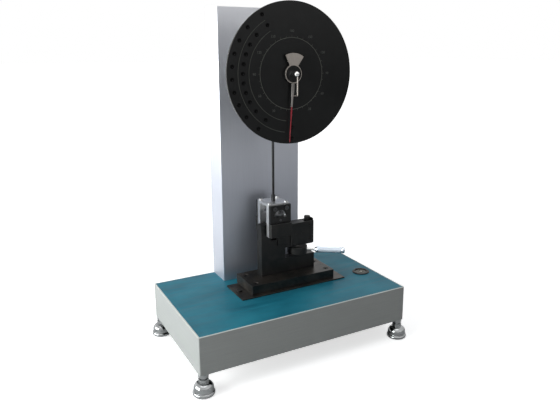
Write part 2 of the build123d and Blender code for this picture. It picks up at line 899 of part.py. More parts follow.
with BuildPart() as pendulum_hub:
    hub_outline = [
        (hub_front, bearing_bore + thread_gap),
        (hub_front, hub_radius),
        (hub_back, hub_radius),
        (hub_back, catch_radius),
        (catch_back, catch_radius),
        (catch_back, bearing_bore + thread_gap),
    ]
    revolve(turned_on_axis(hub_outline), axis=swing_axis)
    with BuildSketch(front(catch_back)):
        with BuildLine():
            Polyline(
                swing_point(catch_radius - catch_root, nose_start),
                swing_point(catch_nose_radius, nose_start),
                swing_point(catch_nose_radius, nose_start + catch_nose_angle / 2),
                swing_point(catch_radius - catch_root, nose_start + catch_nose_angle),
                close=True,
            )
        make_face()
    extrude(amount=catch_width)
    with BuildSketch(level(axis_z - hub_radius)):
        with Locations((0, swing_y)):
            Circle(rod_radius + thread_gap)
    extrude(amount=rod_seat, mode=Mode.SUBTRACT)
    with BuildSketch(level(axis_z)):
        with Locations((0, swing_y)):
            Circle(hub_screw_radius + thread_gap)
    extrude(amount=hub_radius, mode=Mode.SUBTRACT)
keep(pendulum_hub, "pendulum_hub")

# Hammer: two upright plates under a top plate, with dark weights on both faces
hammer_width = 54.8
leg_thickness = 12.5
leg_inner = 17.0
hammer_rise = 33.0
hammer_drop = 47.5
hammer_top_thickness = 6.0
plate_thickness = 8.0
plate_top_gap = 2.0
weight_thickness = 14.0
weight_height = 32.5
weight_lift = 1.5
window_radius = 17.0
window_rise = 2.0
rod_collar_radius = 5.0
rod_collar = 15.0
rod_locknut_hex = 12.0
rod_locknut = 6.0
m5_radius = 2.5
m5_head_radius = 4.5
m5_head = 3.0
side_bolt_x = 15.4
side_bolt_drop = 10.0
side_bolt_head_radius = 5.0
low_screw_radius = 2.0
low_screw_head_radius = 3.2
low_screw_head = 2.5
striker_screw_x = 14.0
striker_screw_drop = 2.5
striker_screw_grip = 6.0
weight_screw_grip = 9.0
small_edge = 0.8
top_screw_edge = 5.5
top_screw_grip = 6.0

hammer_top_z = strike_z + hammer_rise
leg_bottom_z = strike_z - hammer_drop
leg_outer = leg_inner + leg_thickness
leg_top_z = hammer_top_z - hammer_top_thickness
plate_top_z = hammer_top_z - plate_top_gap
weight_bottom_z = leg_bottom_z + weight_lift
weight_top_z = weight_bottom_z + weight_height
window_base_z = strike_z + window_rise
low_screw_z = (weight_top_z + window_base_z) / 2
striker_screw_point = (striker_screw_x, strike_z - striker_screw_drop)
side_bolt_points = [(x, hammer_top_z - side_bolt_drop) for x in (-side_bolt_x, side_bolt_x)]
weight_screw_points = [(x, (weight_bottom_z + weight_top_z) / 2) for x in (-side_bolt_x, side_bolt_x)]
top_screw_x = hammer_width / 2 - top_screw_edge
top_screw_y = leg_inner + leg_thickness / 2
top_screw_points = [
    (x, swing_y + y) for x in (-top_screw_x, top_screw_x) for y in (-top_screw_y, top_screw_y)
]

with BuildPart() as pendulum_rod:
    with BuildSketch(level(leg_top_z)):
        with Locations((0, swing_y)):
            Circle(rod_radius)
    extrude(amount=axis_z - hub_radius + rod_seat - leg_top_z)
keep(pendulum_rod, "pendulum_rod")

with BuildPart() as rod_nuts:
    with BuildSketch(level(hammer_top_z)):
        with Locations((0, swing_y)):
            Circle(rod_collar_radius)
            Circle(rod_radius + thread_gap, mode=Mode.SUBTRACT)
    extrude(amount=rod_collar)
    with BuildSketch(level(axis_z - hub_radius)):
        with Locations((0, swing_y)):
            RegularPolygon(rod_locknut_hex / 2, 6, major_radius=False)
            Circle(rod_radius + thread_gap, mode=Mode.SUBTRACT)
    extrude(amount=-rod_locknut)
keep(rod_nuts, "rod_nuts")

with BuildPart() as hammer_top:
    with BuildSketch(level(leg_top_z)):
        with Locations((0, swing_y)):
            Rectangle(hammer_width, 2 * leg_outer)
            Circle(rod_radius + thread_gap, mode=Mode.SUBTRACT)
        with Locations(*top_screw_points):
            Circle(m5_radius + thread_gap, mode=Mode.SUBTRACT)
    extrude(amount=hammer_top_thickness)
keep(hammer_top, "hammer_top")


def window_face(y):
    """Half-round window that shows the striking nose; its flat side is down."""
    with BuildSketch(front(y)) as face:
        with BuildLine():
            Line((-window_radius, window_base_z), (window_radius, window_base_z))
            ThreePointArc(
                (window_radius, window_base_z),
                (0, window_base_z + window_radius),
                (-window_radius, window_base_z),
            )
        make_face()
    return face.sketch


# Each face of the hammer: facing is +1 where it looks to the front and -1 to the rear
hammer_faces = {"front": 1, "rear": -1}

for place, facing in hammer_faces.items():
    inner_y = swing_y - facing * leg_inner
    outer_y = swing_y - facing * leg_outer
    with BuildPart() as hammer_leg:
        with BuildSketch(front(inner_y)):
            with Locations((0, (leg_top_z + leg_bottom_z) / 2)):
                Rectangle(hammer_width, leg_top_z - leg_bottom_z)
            with Locations(*side_bolt_points, *weight_screw_points, striker_screw_point):
                Circle(m5_radius + thread_gap, mode=Mode.SUBTRACT)
            with Locations((0, low_screw_z)):
                Circle(low_screw_radius + thread_gap, mode=Mode.SUBTRACT)
        extrude(amount=facing * leg_thickness)
        extrude(window_face(inner_y), amount=facing * leg_thickness, mode=Mode.SUBTRACT)
        with BuildSketch(front(inner_y)):
            with Locations(*weight_screw_points):
                Circle(m5_head_radius + thread_gap)
        extrude(amount=facing * m5_head, mode=Mode.SUBTRACT)
        with BuildSketch(front(outer_y)):
            with Locations(striker_screw_point):
                Circle(m5_head_radius + thread_gap)
        extrude(amount=-facing * m5_head, mode=Mode.SUBTRACT)
        with BuildSketch(level(leg_top_z)):
            with Locations(*top_screw_points):
                Circle(m5_radius + thread_gap)
        extrude(amount=-top_screw_grip - slip, mode=Mode.SUBTRACT)
    keep(hammer_leg, f"hammer_leg_{place}")

with BuildPart() as hammer_plates:
    for facing in hammer_faces.values():
        outer_y = swing_y - facing * leg_outer
        with BuildSketch(front(outer_y)):
            with Locations((0, (plate_top_z + weight_top_z) / 2)):
                Rectangle(hammer_width, plate_top_z - weight_top_z)
            with Locations(*side_bolt_points):
                Circle(m5_radius + thread_gap, mode=Mode.SUBTRACT)
            with Locations((0, low_screw_z)):
                Circle(low_screw_radius + thread_gap, mode=Mode.SUBTRACT)
        extrude(amount=facing * plate_thickness)
        extrude(window_face(outer_y), amount=facing * plate_thickness, mode=Mode.SUBTRACT)
        with BuildSketch(front(outer_y - facing * plate_thickness)):
            with Locations((0, low_screw_z)):
                Circle(low_screw_head_radius + thread_gap)
        extrude(amount=-facing * low_screw_head, mode=Mode.SUBTRACT)
keep(hammer_plates, "hammer_plates")

with BuildPart() as hammer_weights:
    for facing in hammer_faces.values():
        outer_y = swing_y - facing * leg_outer
        with BuildSketch(front(outer_y)):
            with Locations((0, (weight_bottom_z + weight_top_z) / 2)):
                Rectangle(hammer_width, weight_height)
        extrude(amount=facing * weight_thickness)
        with BuildSketch(front(outer_y)):
            with Locations(*weight_screw_points):
                Circle(m5_radius + thread_gap)
        extrude(amount=facing * (weight_screw_grip + slip), mode=Mode.SUBTRACT)
    chamfer(hammer_weights.faces().filter_by(Axis.Y).sort_by(Axis.Y)[0].edges(), small_edge)
    chamfer(hammer_weights.faces().filter_by(Axis.Y).sort_by(Axis.Y)[-1].edges(), small_edge)
keep(hammer_weights, "hammer_weights")

with BuildPart() as pendulum_screws:
    with BuildSketch(level(axis_z + bearing_bore + thread_gap)):
        with Locations((0, swing_y)):
            Circle(hub_screw_radius)
    extrude(amount=hub_screw_length)
    with BuildSketch(level(hammer_top_z)):
        with Locations(*top_screw_points):
            socket_head(m5_head_radius)
    extrude(amount=m5_head)
    with BuildSketch(level(hammer_top_z)):
        with Locations(*top_screw_points):
            Circle(m5_radius)
    extrude(amount=-hammer_top_thickness - top_screw_grip)
    for facing in hammer_faces.values():
        inner_y = swing_y - facing * leg_inner
        outer_y = swing_y - facing * leg_outer
        plate_face = outer_y - facing * plate_thickness
        with BuildSketch(front(plate_face)):
            with Locations(*side_bolt_points):
                socket_head(side_bolt_head_radius)
        extrude(amount=facing * m5_head)
        with BuildSketch(front(plate_face)):
            with Locations(*side_bolt_points):
                Circle(m5_radius)
        extrude(amount=-facing * (plate_thickness + leg_thickness - slip))
        with BuildSketch(front(plate_face + facing * low_screw_head)):
            with Locations((0, low_screw_z)):
                socket_head(low_screw_head_radius)
        extrude(amount=facing * (low_screw_head - slip))
        with BuildSketch(front(plate_face + facing * low_screw_head)):
            with Locations((0, low_screw_z)):
                Circle(low_screw_radius)
        extrude(amount=-facing * (plate_thickness - low_screw_head + leg_thickness - slip))
        with BuildSketch(front(inner_y - facing * m5_head)):
            with Locations(*weight_screw_points):
                socket_head(m5_head_radius)
        extrude(amount=-facing * (m5_head - slip))
        with BuildSketch(front(inner_y - facing * m5_head)):
            with Locations(*weight_screw_points):
                Circle(m5_radius)
        extrude(amount=facing * (leg_thickness - m5_head + weight_screw_grip))
        with BuildSketch(front(outer_y + facing * m5_head)):
            with Locations(striker_screw_point):
                socket_head(m5_head_radius)
        extrude(amount=facing * (m5_head - slip))
        with BuildSketch(front(outer_y + facing * m5_head)):
            with Locations(striker_screw_point):
                Circle(m5_radius)
        extrude(amount=-facing * (leg_thickness - m5_head + striker_screw_grip))
keep(pendulum_screws, "pendulum_screws")

# Striker: a wedge across the hammer; its rounded nose meets the bar's struck face
striker_nose_radius = 0.8
striker_face_angle = 22.5
striker_height = 18.0
striker_depth = 21.0
striker_drop = 7.0
striker_flat = 4.0
striker_shoulder = 5.0
striker_lean = striker_height * tan(radians(striker_face_angle))

with BuildPart() as striker:
    with BuildSketch(front(swing_y + leg_inner)) as striker_profile:
        with BuildLine():
            Polyline(
                (0, strike_z),
                (striker_lean, strike_z + striker_height),
                (striker_lean + striker_flat, strike_z + striker_height),
                (striker_depth, strike_z + striker_shoulder),
                (striker_depth, strike_z - striker_drop),
                (striker_drop / tan(radians(90 - 2 * striker_face_angle)), strike_z - striker_drop),
                close=True,
            )
        make_face()
        fillet(striker_profile.vertices().sort_by(Axis.X)[0], striker_nose_radius)
    extrude(amount=2 * leg_inner)
    for facing in hammer_faces.values():
        with BuildSketch(front(swing_y - facing * leg_inner)):
            with Locations(striker_screw_point):
                Circle(m5_radius + thread_gap)
        extrude(amount=-facing * (striker_screw_grip + slip), mode=Mode.SUBTRACT)
keep(striker, "striker")

# Vise: a sole plate and a bed plate on the base, and the slab that holds the bar
sole_thickness = 3.0
bed_thickness = 22.5
slab_left = -39.0
slab_right = 108.0
slab_upper_right = 102.0
slab_thickness = 24.0
post_right = -16.7
slab_step = 5.5
cam_slot_left = 26.0
cam_slot_height = 26.0
cam_web = 7.5
channel_end = 86.0
bar_depth = 40.0
bar_floor_rise = 17.0
bar_step_x = 3.0
channel_wall = 3.0
slab_screw_length = 18.0
slab_screw_edge = 20.0
bed_counterbore = 9.0
bed_screw_head_radius = 6.5
bed_screw_head = 8.0
plate_corner = 1.0

post_top = vise_top
slab_top = post_top - slab_step
bar_floor = post_top - bar_depth
channel_floor = bar_floor - bar_floor_rise
cam_slot_top = channel_floor - cam_web
cam_slot_bottom = cam_slot_top - cam_slot_height
bed_bottom = base_top + sole_thickness
bed_top = bed_bottom + bed_thickness
slab_front = swing_y - slab_thickness / 2
slab_back = swing_y + slab_thickness / 2
channel_back = slab_back - channel_wall
slab_screw_points = [
    (x, swing_y)
    for x in (slab_left + slab_screw_edge, (slab_left + slab_right) / 2, slab_right - slab_screw_edge)
]

with BuildPart() as vise_sole_plate:
    with BuildSketch(level(base_top)):
        with Locations(((sole_left + sole_right) / 2, sole_middle_y)):
            Rectangle(sole_right - sole_left, sole_back - sole_front)
        with Locations(*bed_screw_points, *sole_screw_points):
            Circle(bed_screw_radius + slip, mode=Mode.SUBTRACT)
    extrude(amount=sole_thickness)
keep(vise_sole_plate, "vise_sole_plate")

with BuildPart() as vise_bed_plate:
    with BuildSketch(level(bed_bottom)):
        with Locations(((bed_left + bed_right) / 2, (bed_front + bed_back) / 2)):
            Rectangle(bed_right - bed_left, bed_back - bed_front)
    extrude(amount=bed_thickness)
    chamfer(vise_bed_plate.edges().filter_by(Axis.Z), plate_corner)
    with BuildSketch(level(bed_bottom)):
        with Locations(*bed_screw_points, *slab_screw_points):
            Circle(bed_screw_radius + slip)
    extrude(amount=bed_thickness, mode=Mode.SUBTRACT)
    with BuildSketch(level(bed_top)):
        with Locations(*bed_screw_points):
            Circle(bed_screw_head_radius + slip)
    extrude(amount=-bed_counterbore, mode=Mode.SUBTRACT)
    with BuildSketch(level(bed_bottom)):
        with Locations(*slab_screw_points):
            Circle(bed_screw_head_radius + slip)
    extrude(amount=bed_counterbore, mode=Mode.SUBTRACT)
keep(vise_bed_plate, "vise_bed_plate")

# Cam clamp: an eccentric pin turned by the lever slides the moving jaw along X
cam_x = 66.0
cam_radius = 25.0
cam_height = 18.0
journal_radius = 6.0
journal_foot = 12.0
eccentric_radius = 4.0
eccentric_throw = 1.5
eccentric_height = 20.0
eccentric_angle = -57.5
jaw_opening = 14.0
jaw_plate_thickness = 4.0
jaw_tooth_pitch = 2.0
jaw_tooth_depth = 0.7
jaw_end_gap = 3.0
jaw_drop = 0.5
cover_left = 41.0
cover_right = 105.0
cover_overlap = 6.0
cover_thickness = 3.0
end_plate_thickness = 3.0
post_x = 94.0
post_radius = 7.5
post_rise = 10.5
post_pin_radius = 3.0
m3_radius = 1.5
m3_head_radius = 2.8
m3_head = 1.2
m3_grip = 7.0
cover_screw_rise = 12.0
cover_screw_drop = 10.0
cover_screw_low = 3.0
cover_screw_edge = 6.0
cover_screw_shift = 14.0
gib_screw_x = (55.5, 73.0)
gib_screw_rise = 24.0
gib_screw_stand = 0.5
post_pin = 13.0
cam_gap = 0.25
end_screw_rise = 14.0
end_screw_top = 24.0
gib_screw_radius = 3.0

cover_bottom = channel_floor - cover_overlap
gib_screw_z = channel_floor + gib_screw_rise
cam_z = (cam_slot_bottom + cam_slot_top) / 2
cam_bottom = cam_z - cam_height / 2
fixed_face_x = post_right + jaw_plate_thickness
moving_face_x = fixed_face_x + jaw_opening
jaw_left = moving_face_x + jaw_plate_thickness
jaw_end = channel_end - jaw_end_gap
jaw_front = slab_front + slip
jaw_back = channel_back - slip
eccentric_x = cam_x + eccentric_throw * cos(radians(eccentric_angle))
eccentric_y = swing_y + eccentric_throw * sin(radians(eccentric_angle))
cover_screw_points = [
    (post_x, cover_bottom + cover_screw_rise),
    (post_x, slab_top - cover_screw_drop),
    (cover_left + cover_screw_edge, cover_bottom + cover_screw_low),
    (cam_x + cover_screw_shift, cover_bottom + cover_screw_low),
]
gib_screw_points = [(x, gib_screw_z) for x in gib_screw_x]
end_screw_points = [
    (swing_y, cover_bottom + end_screw_rise),
    (swing_y, slab_top - end_screw_top),
]

with BuildPart() as vise_body:
    with BuildSketch(front(slab_back)):
        with BuildLine():
            Polyline(
                (slab_left, bed_top),
                (slab_right, bed_top),
                (slab_right, cam_slot_bottom),
                (cam_slot_left, cam_slot_bottom),
                (cam_slot_left, cam_slot_top),
                (slab_upper_right, cam_slot_top),
                (slab_upper_right, slab_top),
                (post_right, slab_top),
                (post_right, post_top),
                (slab_left, post_top),
                close=True,
            )
        make_face()
    extrude(amount=slab_thickness)
    with BuildSketch(front(channel_back)):
        with BuildLine():
            Polyline(
                (post_right, post_top),
                (post_right, bar_floor),
                (bar_step_x, bar_floor),
                (bar_step_x, channel_floor),
                (channel_end, channel_floor),
                (channel_end, post_top),
                close=True,
            )
        make_face()
    extrude(amount=channel_back - slab_front, mode=Mode.SUBTRACT)
    with BuildSketch(level(bed_top)):
        with Locations(*slab_screw_points):
            Circle(bed_screw_radius + thread_gap)
    extrude(amount=slab_screw_length + slip, mode=Mode.SUBTRACT)
    with BuildSketch(level(cam_slot_bottom - journal_foot)):
        with Locations((cam_x, swing_y)):
            Circle(journal_radius + running)
    extrude(amount=channel_floor - cam_slot_bottom + journal_foot, mode=Mode.SUBTRACT)
    with BuildSketch(front(slab_front)):
        with Locations(*cover_screw_points):
            Circle(m3_radius + thread_gap)
    extrude(amount=-m3_grip - slip, mode=Mode.SUBTRACT)
    with BuildSketch(side(slab_upper_right)):
        with Locations(*end_screw_points):
            Circle(m3_radius + thread_gap)
    extrude(amount=-m3_grip - slip, mode=Mode.SUBTRACT)
    with BuildSketch(level(slab_top)):
        with Locations((post_x, swing_y)):
            Circle(post_pin_radius + thread_gap)
    extrude(amount=-post_pin - slip, mode=Mode.SUBTRACT)
    chamfer(vise_body.edges().filter_by(Axis.Z).group_by(Axis.X)[0], plate_corner)
keep(vise_body, "vise_body")


def serrated_face(face_x, back_x, bottom, top):
    """Jaw plate outline in X and Z, with teeth on face_x and a plain strip above them."""
    inward = jaw_tooth_depth if back_x > face_x else -jaw_tooth_depth
    count = int((top - bottom - jaw_tooth_pitch) // jaw_tooth_pitch)
    teeth = []
    for tooth in range(count):
        foot = bottom + tooth * jaw_tooth_pitch
        teeth += [(face_x + inward, foot), (face_x, foot + jaw_tooth_pitch / 2)]
    teeth.append((face_x + inward, bottom + count * jaw_tooth_pitch))
    with BuildSketch(front(jaw_back)) as face:
        with BuildLine():
            Polyline(*teeth, (face_x + inward, top), (back_x, top), (back_x, bottom), close=True)
        make_face()
    return face.sketch


with BuildPart() as fixed_jaw_plate:
    extrude(
        serrated_face(fixed_face_x, post_right, bar_floor, post_top),
        amount=jaw_back - slab_front,
    )
keep(fixed_jaw_plate, "fixed_jaw_plate")

with BuildPart() as moving_jaw_plate:
    extrude(
        serrated_face(moving_face_x, jaw_left, bar_floor + slip, slab_top - jaw_drop),
        amount=jaw_back - jaw_front,
    )
keep(moving_jaw_plate, "moving_jaw_plate")

with BuildPart() as moving_jaw:
    with BuildSketch(front(jaw_back)):
        with Locations(((jaw_left + jaw_end) / 2, (channel_floor + slip + slab_top - jaw_drop) / 2)):
            Rectangle(jaw_end - jaw_left, slab_top - jaw_drop - channel_floor - slip)
    extrude(amount=jaw_back - jaw_front)
    with BuildSketch(level(channel_floor)):
        with Locations((eccentric_x, swing_y)):
            RectangleRounded(
                2 * (eccentric_radius + cam_gap),
                2 * (eccentric_radius + eccentric_throw + slip),
                eccentric_radius,
            )
    extrude(amount=eccentric_height + jaw_end_gap, mode=Mode.SUBTRACT)
keep(moving_jaw, "moving_jaw")

with BuildPart() as jaw_cover:
    with BuildSketch(front(slab_front)):
        with Locations(((cover_left + cover_right) / 2, (cover_bottom + slab_top) / 2)):
            Rectangle(cover_right - cover_left, slab_top - cover_bottom)
        with Locations(*cover_screw_points):
            Circle(m3_radius + thread_gap, mode=Mode.SUBTRACT)
        with Locations(*gib_screw_points):
            Circle(gib_screw_radius + thread_gap, mode=Mode.SUBTRACT)
    extrude(amount=cover_thickness)
    chamfer(jaw_cover.faces().sort_by(Axis.Y)[0].outer_wire().edges(), small_edge)
keep(jaw_cover, "jaw_cover")

with BuildPart() as jaw_end_plate:
    with BuildSketch(side(slab_upper_right)):
        with Locations(((slab_front + slab_back) / 2, (cover_bottom + post_top) / 2)):
            Rectangle(slab_thickness, post_top - cover_bottom)
        with Locations(*end_screw_points):
            Circle(m3_radius + thread_gap, mode=Mode.SUBTRACT)
    extrude(amount=end_plate_thickness)
keep(jaw_end_plate, "jaw_end_plate")

with BuildPart() as vise_screws:
    with BuildSketch(level(bed_top - bed_counterbore)):
        with Locations(*bed_screw_points):
            socket_head(bed_screw_head_radius)
    extrude(amount=bed_screw_head)
    with BuildSketch(level(bed_top - bed_counterbore)):
        with Locations(*bed_screw_points):
            Circle(bed_screw_radius)
    extrude(amount=deck_bottom + slip - bed_top + bed_counterbore)
    with BuildSketch(level(bed_bottom)):
        with Locations(*sole_screw_points):
            Circle(bed_screw_head_radius)
    extrude(amount=bed_screw_head / 2)
    with BuildSketch(level(bed_bottom)):
        with Locations(*sole_screw_points):
            Circle(bed_screw_radius)
    extrude(amount=deck_bottom + slip - bed_bottom)
    with BuildSketch(level(bed_bottom + bed_counterbore)):
        with Locations(*slab_screw_points):
            Circle(bed_screw_head_radius)
    extrude(amount=-bed_screw_head)
    with BuildSketch(level(bed_bottom + bed_counterbore)):
        with Locations(*slab_screw_points):
            Circle(bed_screw_radius)
    extrude(amount=bed_thickness - bed_counterbore + slab_screw_length)
    with BuildSketch(front(slab_front - cover_thickness)):
        with Locations(*cover_screw_points):
            socket_head(m3_head_radius)
    extrude(amount=m3_head)
    with BuildSketch(front(slab_front - cover_thickness)):
        with Locations(*cover_screw_points):
            Circle(m3_radius)
    extrude(amount=-cover_thickness - m3_grip)
    with BuildSketch(front(slab_front - cover_thickness - gib_screw_stand)):
        with Locations(*gib_screw_points):
            Circle(gib_screw_radius)
    extrude(amount=-gib_screw_stand - cover_thickness - slip / 2)
    with BuildSketch(side(slab_upper_right + end_plate_thickness)):
        with Locations(*end_screw_points):
            socket_head(m3_head_radius)
    extrude(amount=m3_head)
    with BuildSketch(side(slab_upper_right + end_plate_thickness)):
        with Locations(*end_screw_points):
            Circle(m3_radius)
    extrude(amount=-end_plate_thickness - m3_grip)
keep(vise_screws, "vise_screws")

with BuildPart() as locating_post:
    with BuildSketch(level(slab_top)):
        with Locations((post_x, swing_y)):
            Circle(post_radius)
    extrude(amount=post_rise)
    chamfer(locating_post.edges().group_by(Axis.Z)[-1], plate_corner)
    with BuildSketch(level(slab_top)):
        with Locations((post_x, swing_y)):
            Circle(post_pin_radius)
    extrude(amount=-post_pin)
keep(locating_post, "locating_post")

with BuildPart() as cam_spindle:
    with BuildSketch(level(cam_slot_bottom - journal_foot + slip)):
        with Locations((cam_x, swing_y)):
            Circle(journal_radius)
    extrude(amount=channel_floor - cam_slot_bottom + journal_foot - slip)
    with BuildSketch(level(channel_floor)):
        with Locations((eccentric_x, eccentric_y)):
            Circle(eccentric_radius)
    extrude(amount=eccentric_height)
keep(cam_spindle, "cam_spindle")

# Lever: a rod screwed into the cam hub, with a turned handgrip
lever_angle = -35.0
lever_rod_radius = 3.3
lever_seat = 12.0
grip_seat = 20.0
grip_start = 44.0
grip_end = 119.0
grip_radius = 7.5
grip_neck_radius = 5.5
grip_neck = 6.0
grip_cap = 9.0
grip_groove = 0.8
grip_round = 2.0
lever_plane = Plane(
    origin=(cam_x, swing_y, cam_z),
    x_dir=(cos(radians(lever_angle)), sin(radians(lever_angle)), 0),
    z_dir=(sin(radians(lever_angle)), -cos(radians(lever_angle)), 0),
)
lever_axis = Axis(lever_plane.origin, lever_plane.x_dir)


def turned_on_lever(points):
    """Half profile of a piece on the lever, from (distance from the cam, radius) points."""
    with BuildSketch(lever_plane) as profile:
        with BuildLine():
            Polyline(*points, close=True)
        make_face()
    return profile.sketch


with BuildPart() as cam_hub:
    with BuildSketch(level(cam_bottom)):
        with Locations((cam_x, swing_y)):
            Circle(cam_radius)
    extrude(amount=cam_height)
    chamfer(cam_hub.edges().filter_by(GeomType.CIRCLE), small_edge)
    with BuildSketch(level(cam_bottom)):
        with Locations((cam_x, swing_y)):
            Circle(journal_radius + thread_gap)
    extrude(amount=cam_height, mode=Mode.SUBTRACT)
    rod_hole = [
        (lever_seat, 0),
        (lever_seat, lever_rod_radius + thread_gap),
        (grip_start, lever_rod_radius + thread_gap),
        (grip_start, 0),
    ]
    revolve(turned_on_lever(rod_hole), axis=lever_axis, mode=Mode.SUBTRACT)
keep(cam_hub, "cam_hub")

with BuildPart() as lever_rod:
    rod_outline = [
        (lever_seat + slip, 0),
        (lever_seat + slip, lever_rod_radius),
        (grip_start + grip_seat, lever_rod_radius),
        (grip_start + grip_seat, 0),
    ]
    revolve(turned_on_lever(rod_outline), axis=lever_axis)
keep(lever_rod, "lever_rod")

with BuildPart() as lever_grip:
    grip_outline = [
        (grip_start, lever_rod_radius + thread_gap),
        (grip_start, grip_neck_radius),
        (grip_start + grip_neck, grip_radius),
        (grip_end - grip_cap, grip_radius),
        (grip_end - grip_cap, grip_radius - grip_groove),
        (grip_end - grip_cap + grip_groove, grip_radius - grip_groove),
        (grip_end - grip_cap + grip_groove, grip_radius),
        (grip_end - grip_round, grip_radius),
        (grip_end, grip_radius - grip_round),
        (grip_end, 0),
        (grip_start + grip_seat + slip, 0),
        (grip_start + grip_seat + slip, lever_rod_radius + thread_gap),
    ]
    revolve(turned_on_lever(grip_outline), axis=lever_axis)
keep(lever_grip, "lever_grip")

# Release latch: a sprung hook on the column that holds the raised pendulum
hook_inset = 1.0
hook_thickness = 6.0
hook_eye_radius = 9.0
hook_tooth_gap = 0.6
hook_tooth_reach = 12.0
hook_slant = 2.5
hook_arm_width = 9.0
hook_tail = 78.0
hook_tail_drop = 8.0
hook_pad_radius = 8.0
latch_post_flange = 4.0
latch_head = 3.0

hook_back = catch_back - hook_inset
tooth_inner = catch_radius + hook_tooth_gap
tooth_outer = tooth_inner + hook_tooth_reach
tooth_low = latch_tooth_at - latch_tooth_angle / 2
tooth_high = latch_tooth_at + latch_tooth_angle / 2

with BuildPart() as latch_hook:
    with BuildSketch(front(hook_back)):
        with BuildLine():
            Polyline(
                swing_point(tooth_inner, tooth_low),
                swing_point(tooth_inner, tooth_high),
                swing_point(tooth_outer, tooth_high),
                (latch_pivot[0] + hook_arm_width / 2, latch_pivot[1] + hook_arm_width / 2),
                (latch_pivot[0] - hook_arm_width / 2, latch_pivot[1] - hook_arm_width / 2),
                swing_point(catch_nose_radius + 2 * hook_inset, tooth_low - hook_slant),
                close=True,
            )
        make_face()
        with Locations(latch_pivot):
            Circle(hook_eye_radius)
        with BuildLine():
            Polyline(
                (latch_pivot[0], latch_pivot[1] + hook_arm_width / 2),
                (latch_pivot[0] + hook_tail, latch_pivot[1] - hook_tail_drop + hook_arm_width / 2),
                (latch_pivot[0] + hook_tail, latch_pivot[1] - hook_tail_drop - hook_arm_width / 2),
                (latch_pivot[0], latch_pivot[1] - hook_arm_width / 2),
                close=True,
            )
        make_face()
        with Locations((latch_pivot[0] + hook_tail, latch_pivot[1] - hook_tail_drop)):
            Circle(hook_pad_radius)
        with Locations(latch_pivot):
            Circle(latch_post_radius + running, mode=Mode.SUBTRACT)
    extrude(amount=hook_thickness)
keep(latch_hook, "latch_hook")

with BuildPart() as latch_post:
    with BuildSketch(front(column_front)):
        with Locations(latch_pivot):
            Circle(latch_flange_radius)
    extrude(amount=latch_post_flange)
    with BuildSketch(front(column_front)):
        with Locations(latch_pivot):
            Circle(hook_eye_radius)
    extrude(amount=column_front - hook_back - slip)
    with BuildSketch(front(column_front + mast_gap + mast_wall)):
        with Locations(latch_pivot):
            Circle(latch_post_radius)
    extrude(amount=column_front + mast_gap + mast_wall - hook_back + hook_thickness + slip)
    with BuildSketch(front(hook_back - hook_thickness - slip)):
        with Locations(latch_pivot):
            Circle(hook_eye_radius - hook_inset)
    extrude(amount=latch_head)
keep(latch_post, "latch_post")
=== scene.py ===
# %% [markdown]
# ## The imported model as a fixed frame
# This scene dresses a bench impact tester. The boxes of the imported model's parts give the
# sizes and places of the new pieces. The dressed one has to stay inside it.

# %% Load the imported model
import math

import bmesh
import bpy
import numpy as np
from mathutils import Euler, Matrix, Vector


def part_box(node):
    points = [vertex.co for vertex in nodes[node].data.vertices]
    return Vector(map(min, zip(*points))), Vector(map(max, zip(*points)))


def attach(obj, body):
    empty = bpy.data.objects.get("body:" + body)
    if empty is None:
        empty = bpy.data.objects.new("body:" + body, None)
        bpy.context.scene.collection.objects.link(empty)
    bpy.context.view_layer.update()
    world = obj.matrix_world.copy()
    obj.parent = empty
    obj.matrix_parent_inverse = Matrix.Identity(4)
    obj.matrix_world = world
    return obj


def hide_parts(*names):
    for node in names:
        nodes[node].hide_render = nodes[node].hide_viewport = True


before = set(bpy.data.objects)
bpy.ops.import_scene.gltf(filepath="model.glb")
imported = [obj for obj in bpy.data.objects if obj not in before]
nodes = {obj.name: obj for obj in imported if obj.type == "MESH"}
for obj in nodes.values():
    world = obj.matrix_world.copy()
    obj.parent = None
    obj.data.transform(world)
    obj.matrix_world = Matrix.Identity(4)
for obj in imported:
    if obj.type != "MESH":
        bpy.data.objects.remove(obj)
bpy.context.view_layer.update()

# %% [markdown]
# ## The camera
# The camera stands where the photographer stood, in front and to the left of the base. Its
# place and angles were worked out once from the edges of the base and column. A small shift
# keeps the machine where it is in the picture without turning the camera.

# %% Set the camera
CAMERA_PLACE = (-0.6035, -1.1541, 0.6921)
CAMERA_TURN = 0.507
CAMERA_TILT = 0.230
CAMERA_LENS = 36.7
CAMERA_SHIFT = (-0.021, -0.0296)

camera_data = bpy.data.cameras.new("photo_camera")
camera_data.lens = CAMERA_LENS
camera_data.sensor_width = 36.0
camera_data.shift_x, camera_data.shift_y = CAMERA_SHIFT
camera = bpy.data.objects.new("photo_camera", camera_data)
camera.location = CAMERA_PLACE
camera.rotation_euler = Euler((math.pi / 2 - CAMERA_TILT, 0.0, -CAMERA_TURN))
bpy.context.scene.collection.objects.link(camera)
bpy.context.scene.camera = camera
print("camera", CAMERA_PLACE, "lens", CAMERA_LENS)

# %% [markdown]
# ## Floor, world and lamps
# The machine stands on a pale floor in a white room. A wide window on the left does most of the
# work and a smaller one behind it brightens what the left faces mirror. The photographer's side
# of the room is darker, so the front faces lie in soft shade, as in the picture. The camera
# sees the world as white all round. Polished metal sees it white at the back and darker low
# down at the front, where the photographer stands.

# %% Helpers for node trees


def calculate(tree, operation, *terms):
    """One Math node; each term is an output to link or a number to set."""
    node = tree.nodes.new("ShaderNodeMath")
    node.operation = operation
    for socket, term in zip(node.inputs, terms):
        if isinstance(term, (int, float)):
            socket.default_value = term
        else:
            tree.links.new(term, socket)
    return node.outputs[0]


def light_path_share(tree, *kinds):
    """1 for a ray of any of these kinds and 0 for all others: the largest of their flags."""
    flags = tree.nodes.new("ShaderNodeLightPath").outputs
    share = flags[kinds[0]]
    for kind in kinds[1:]:
        share = calculate(tree, "MAXIMUM", share, flags[kind])
    return share


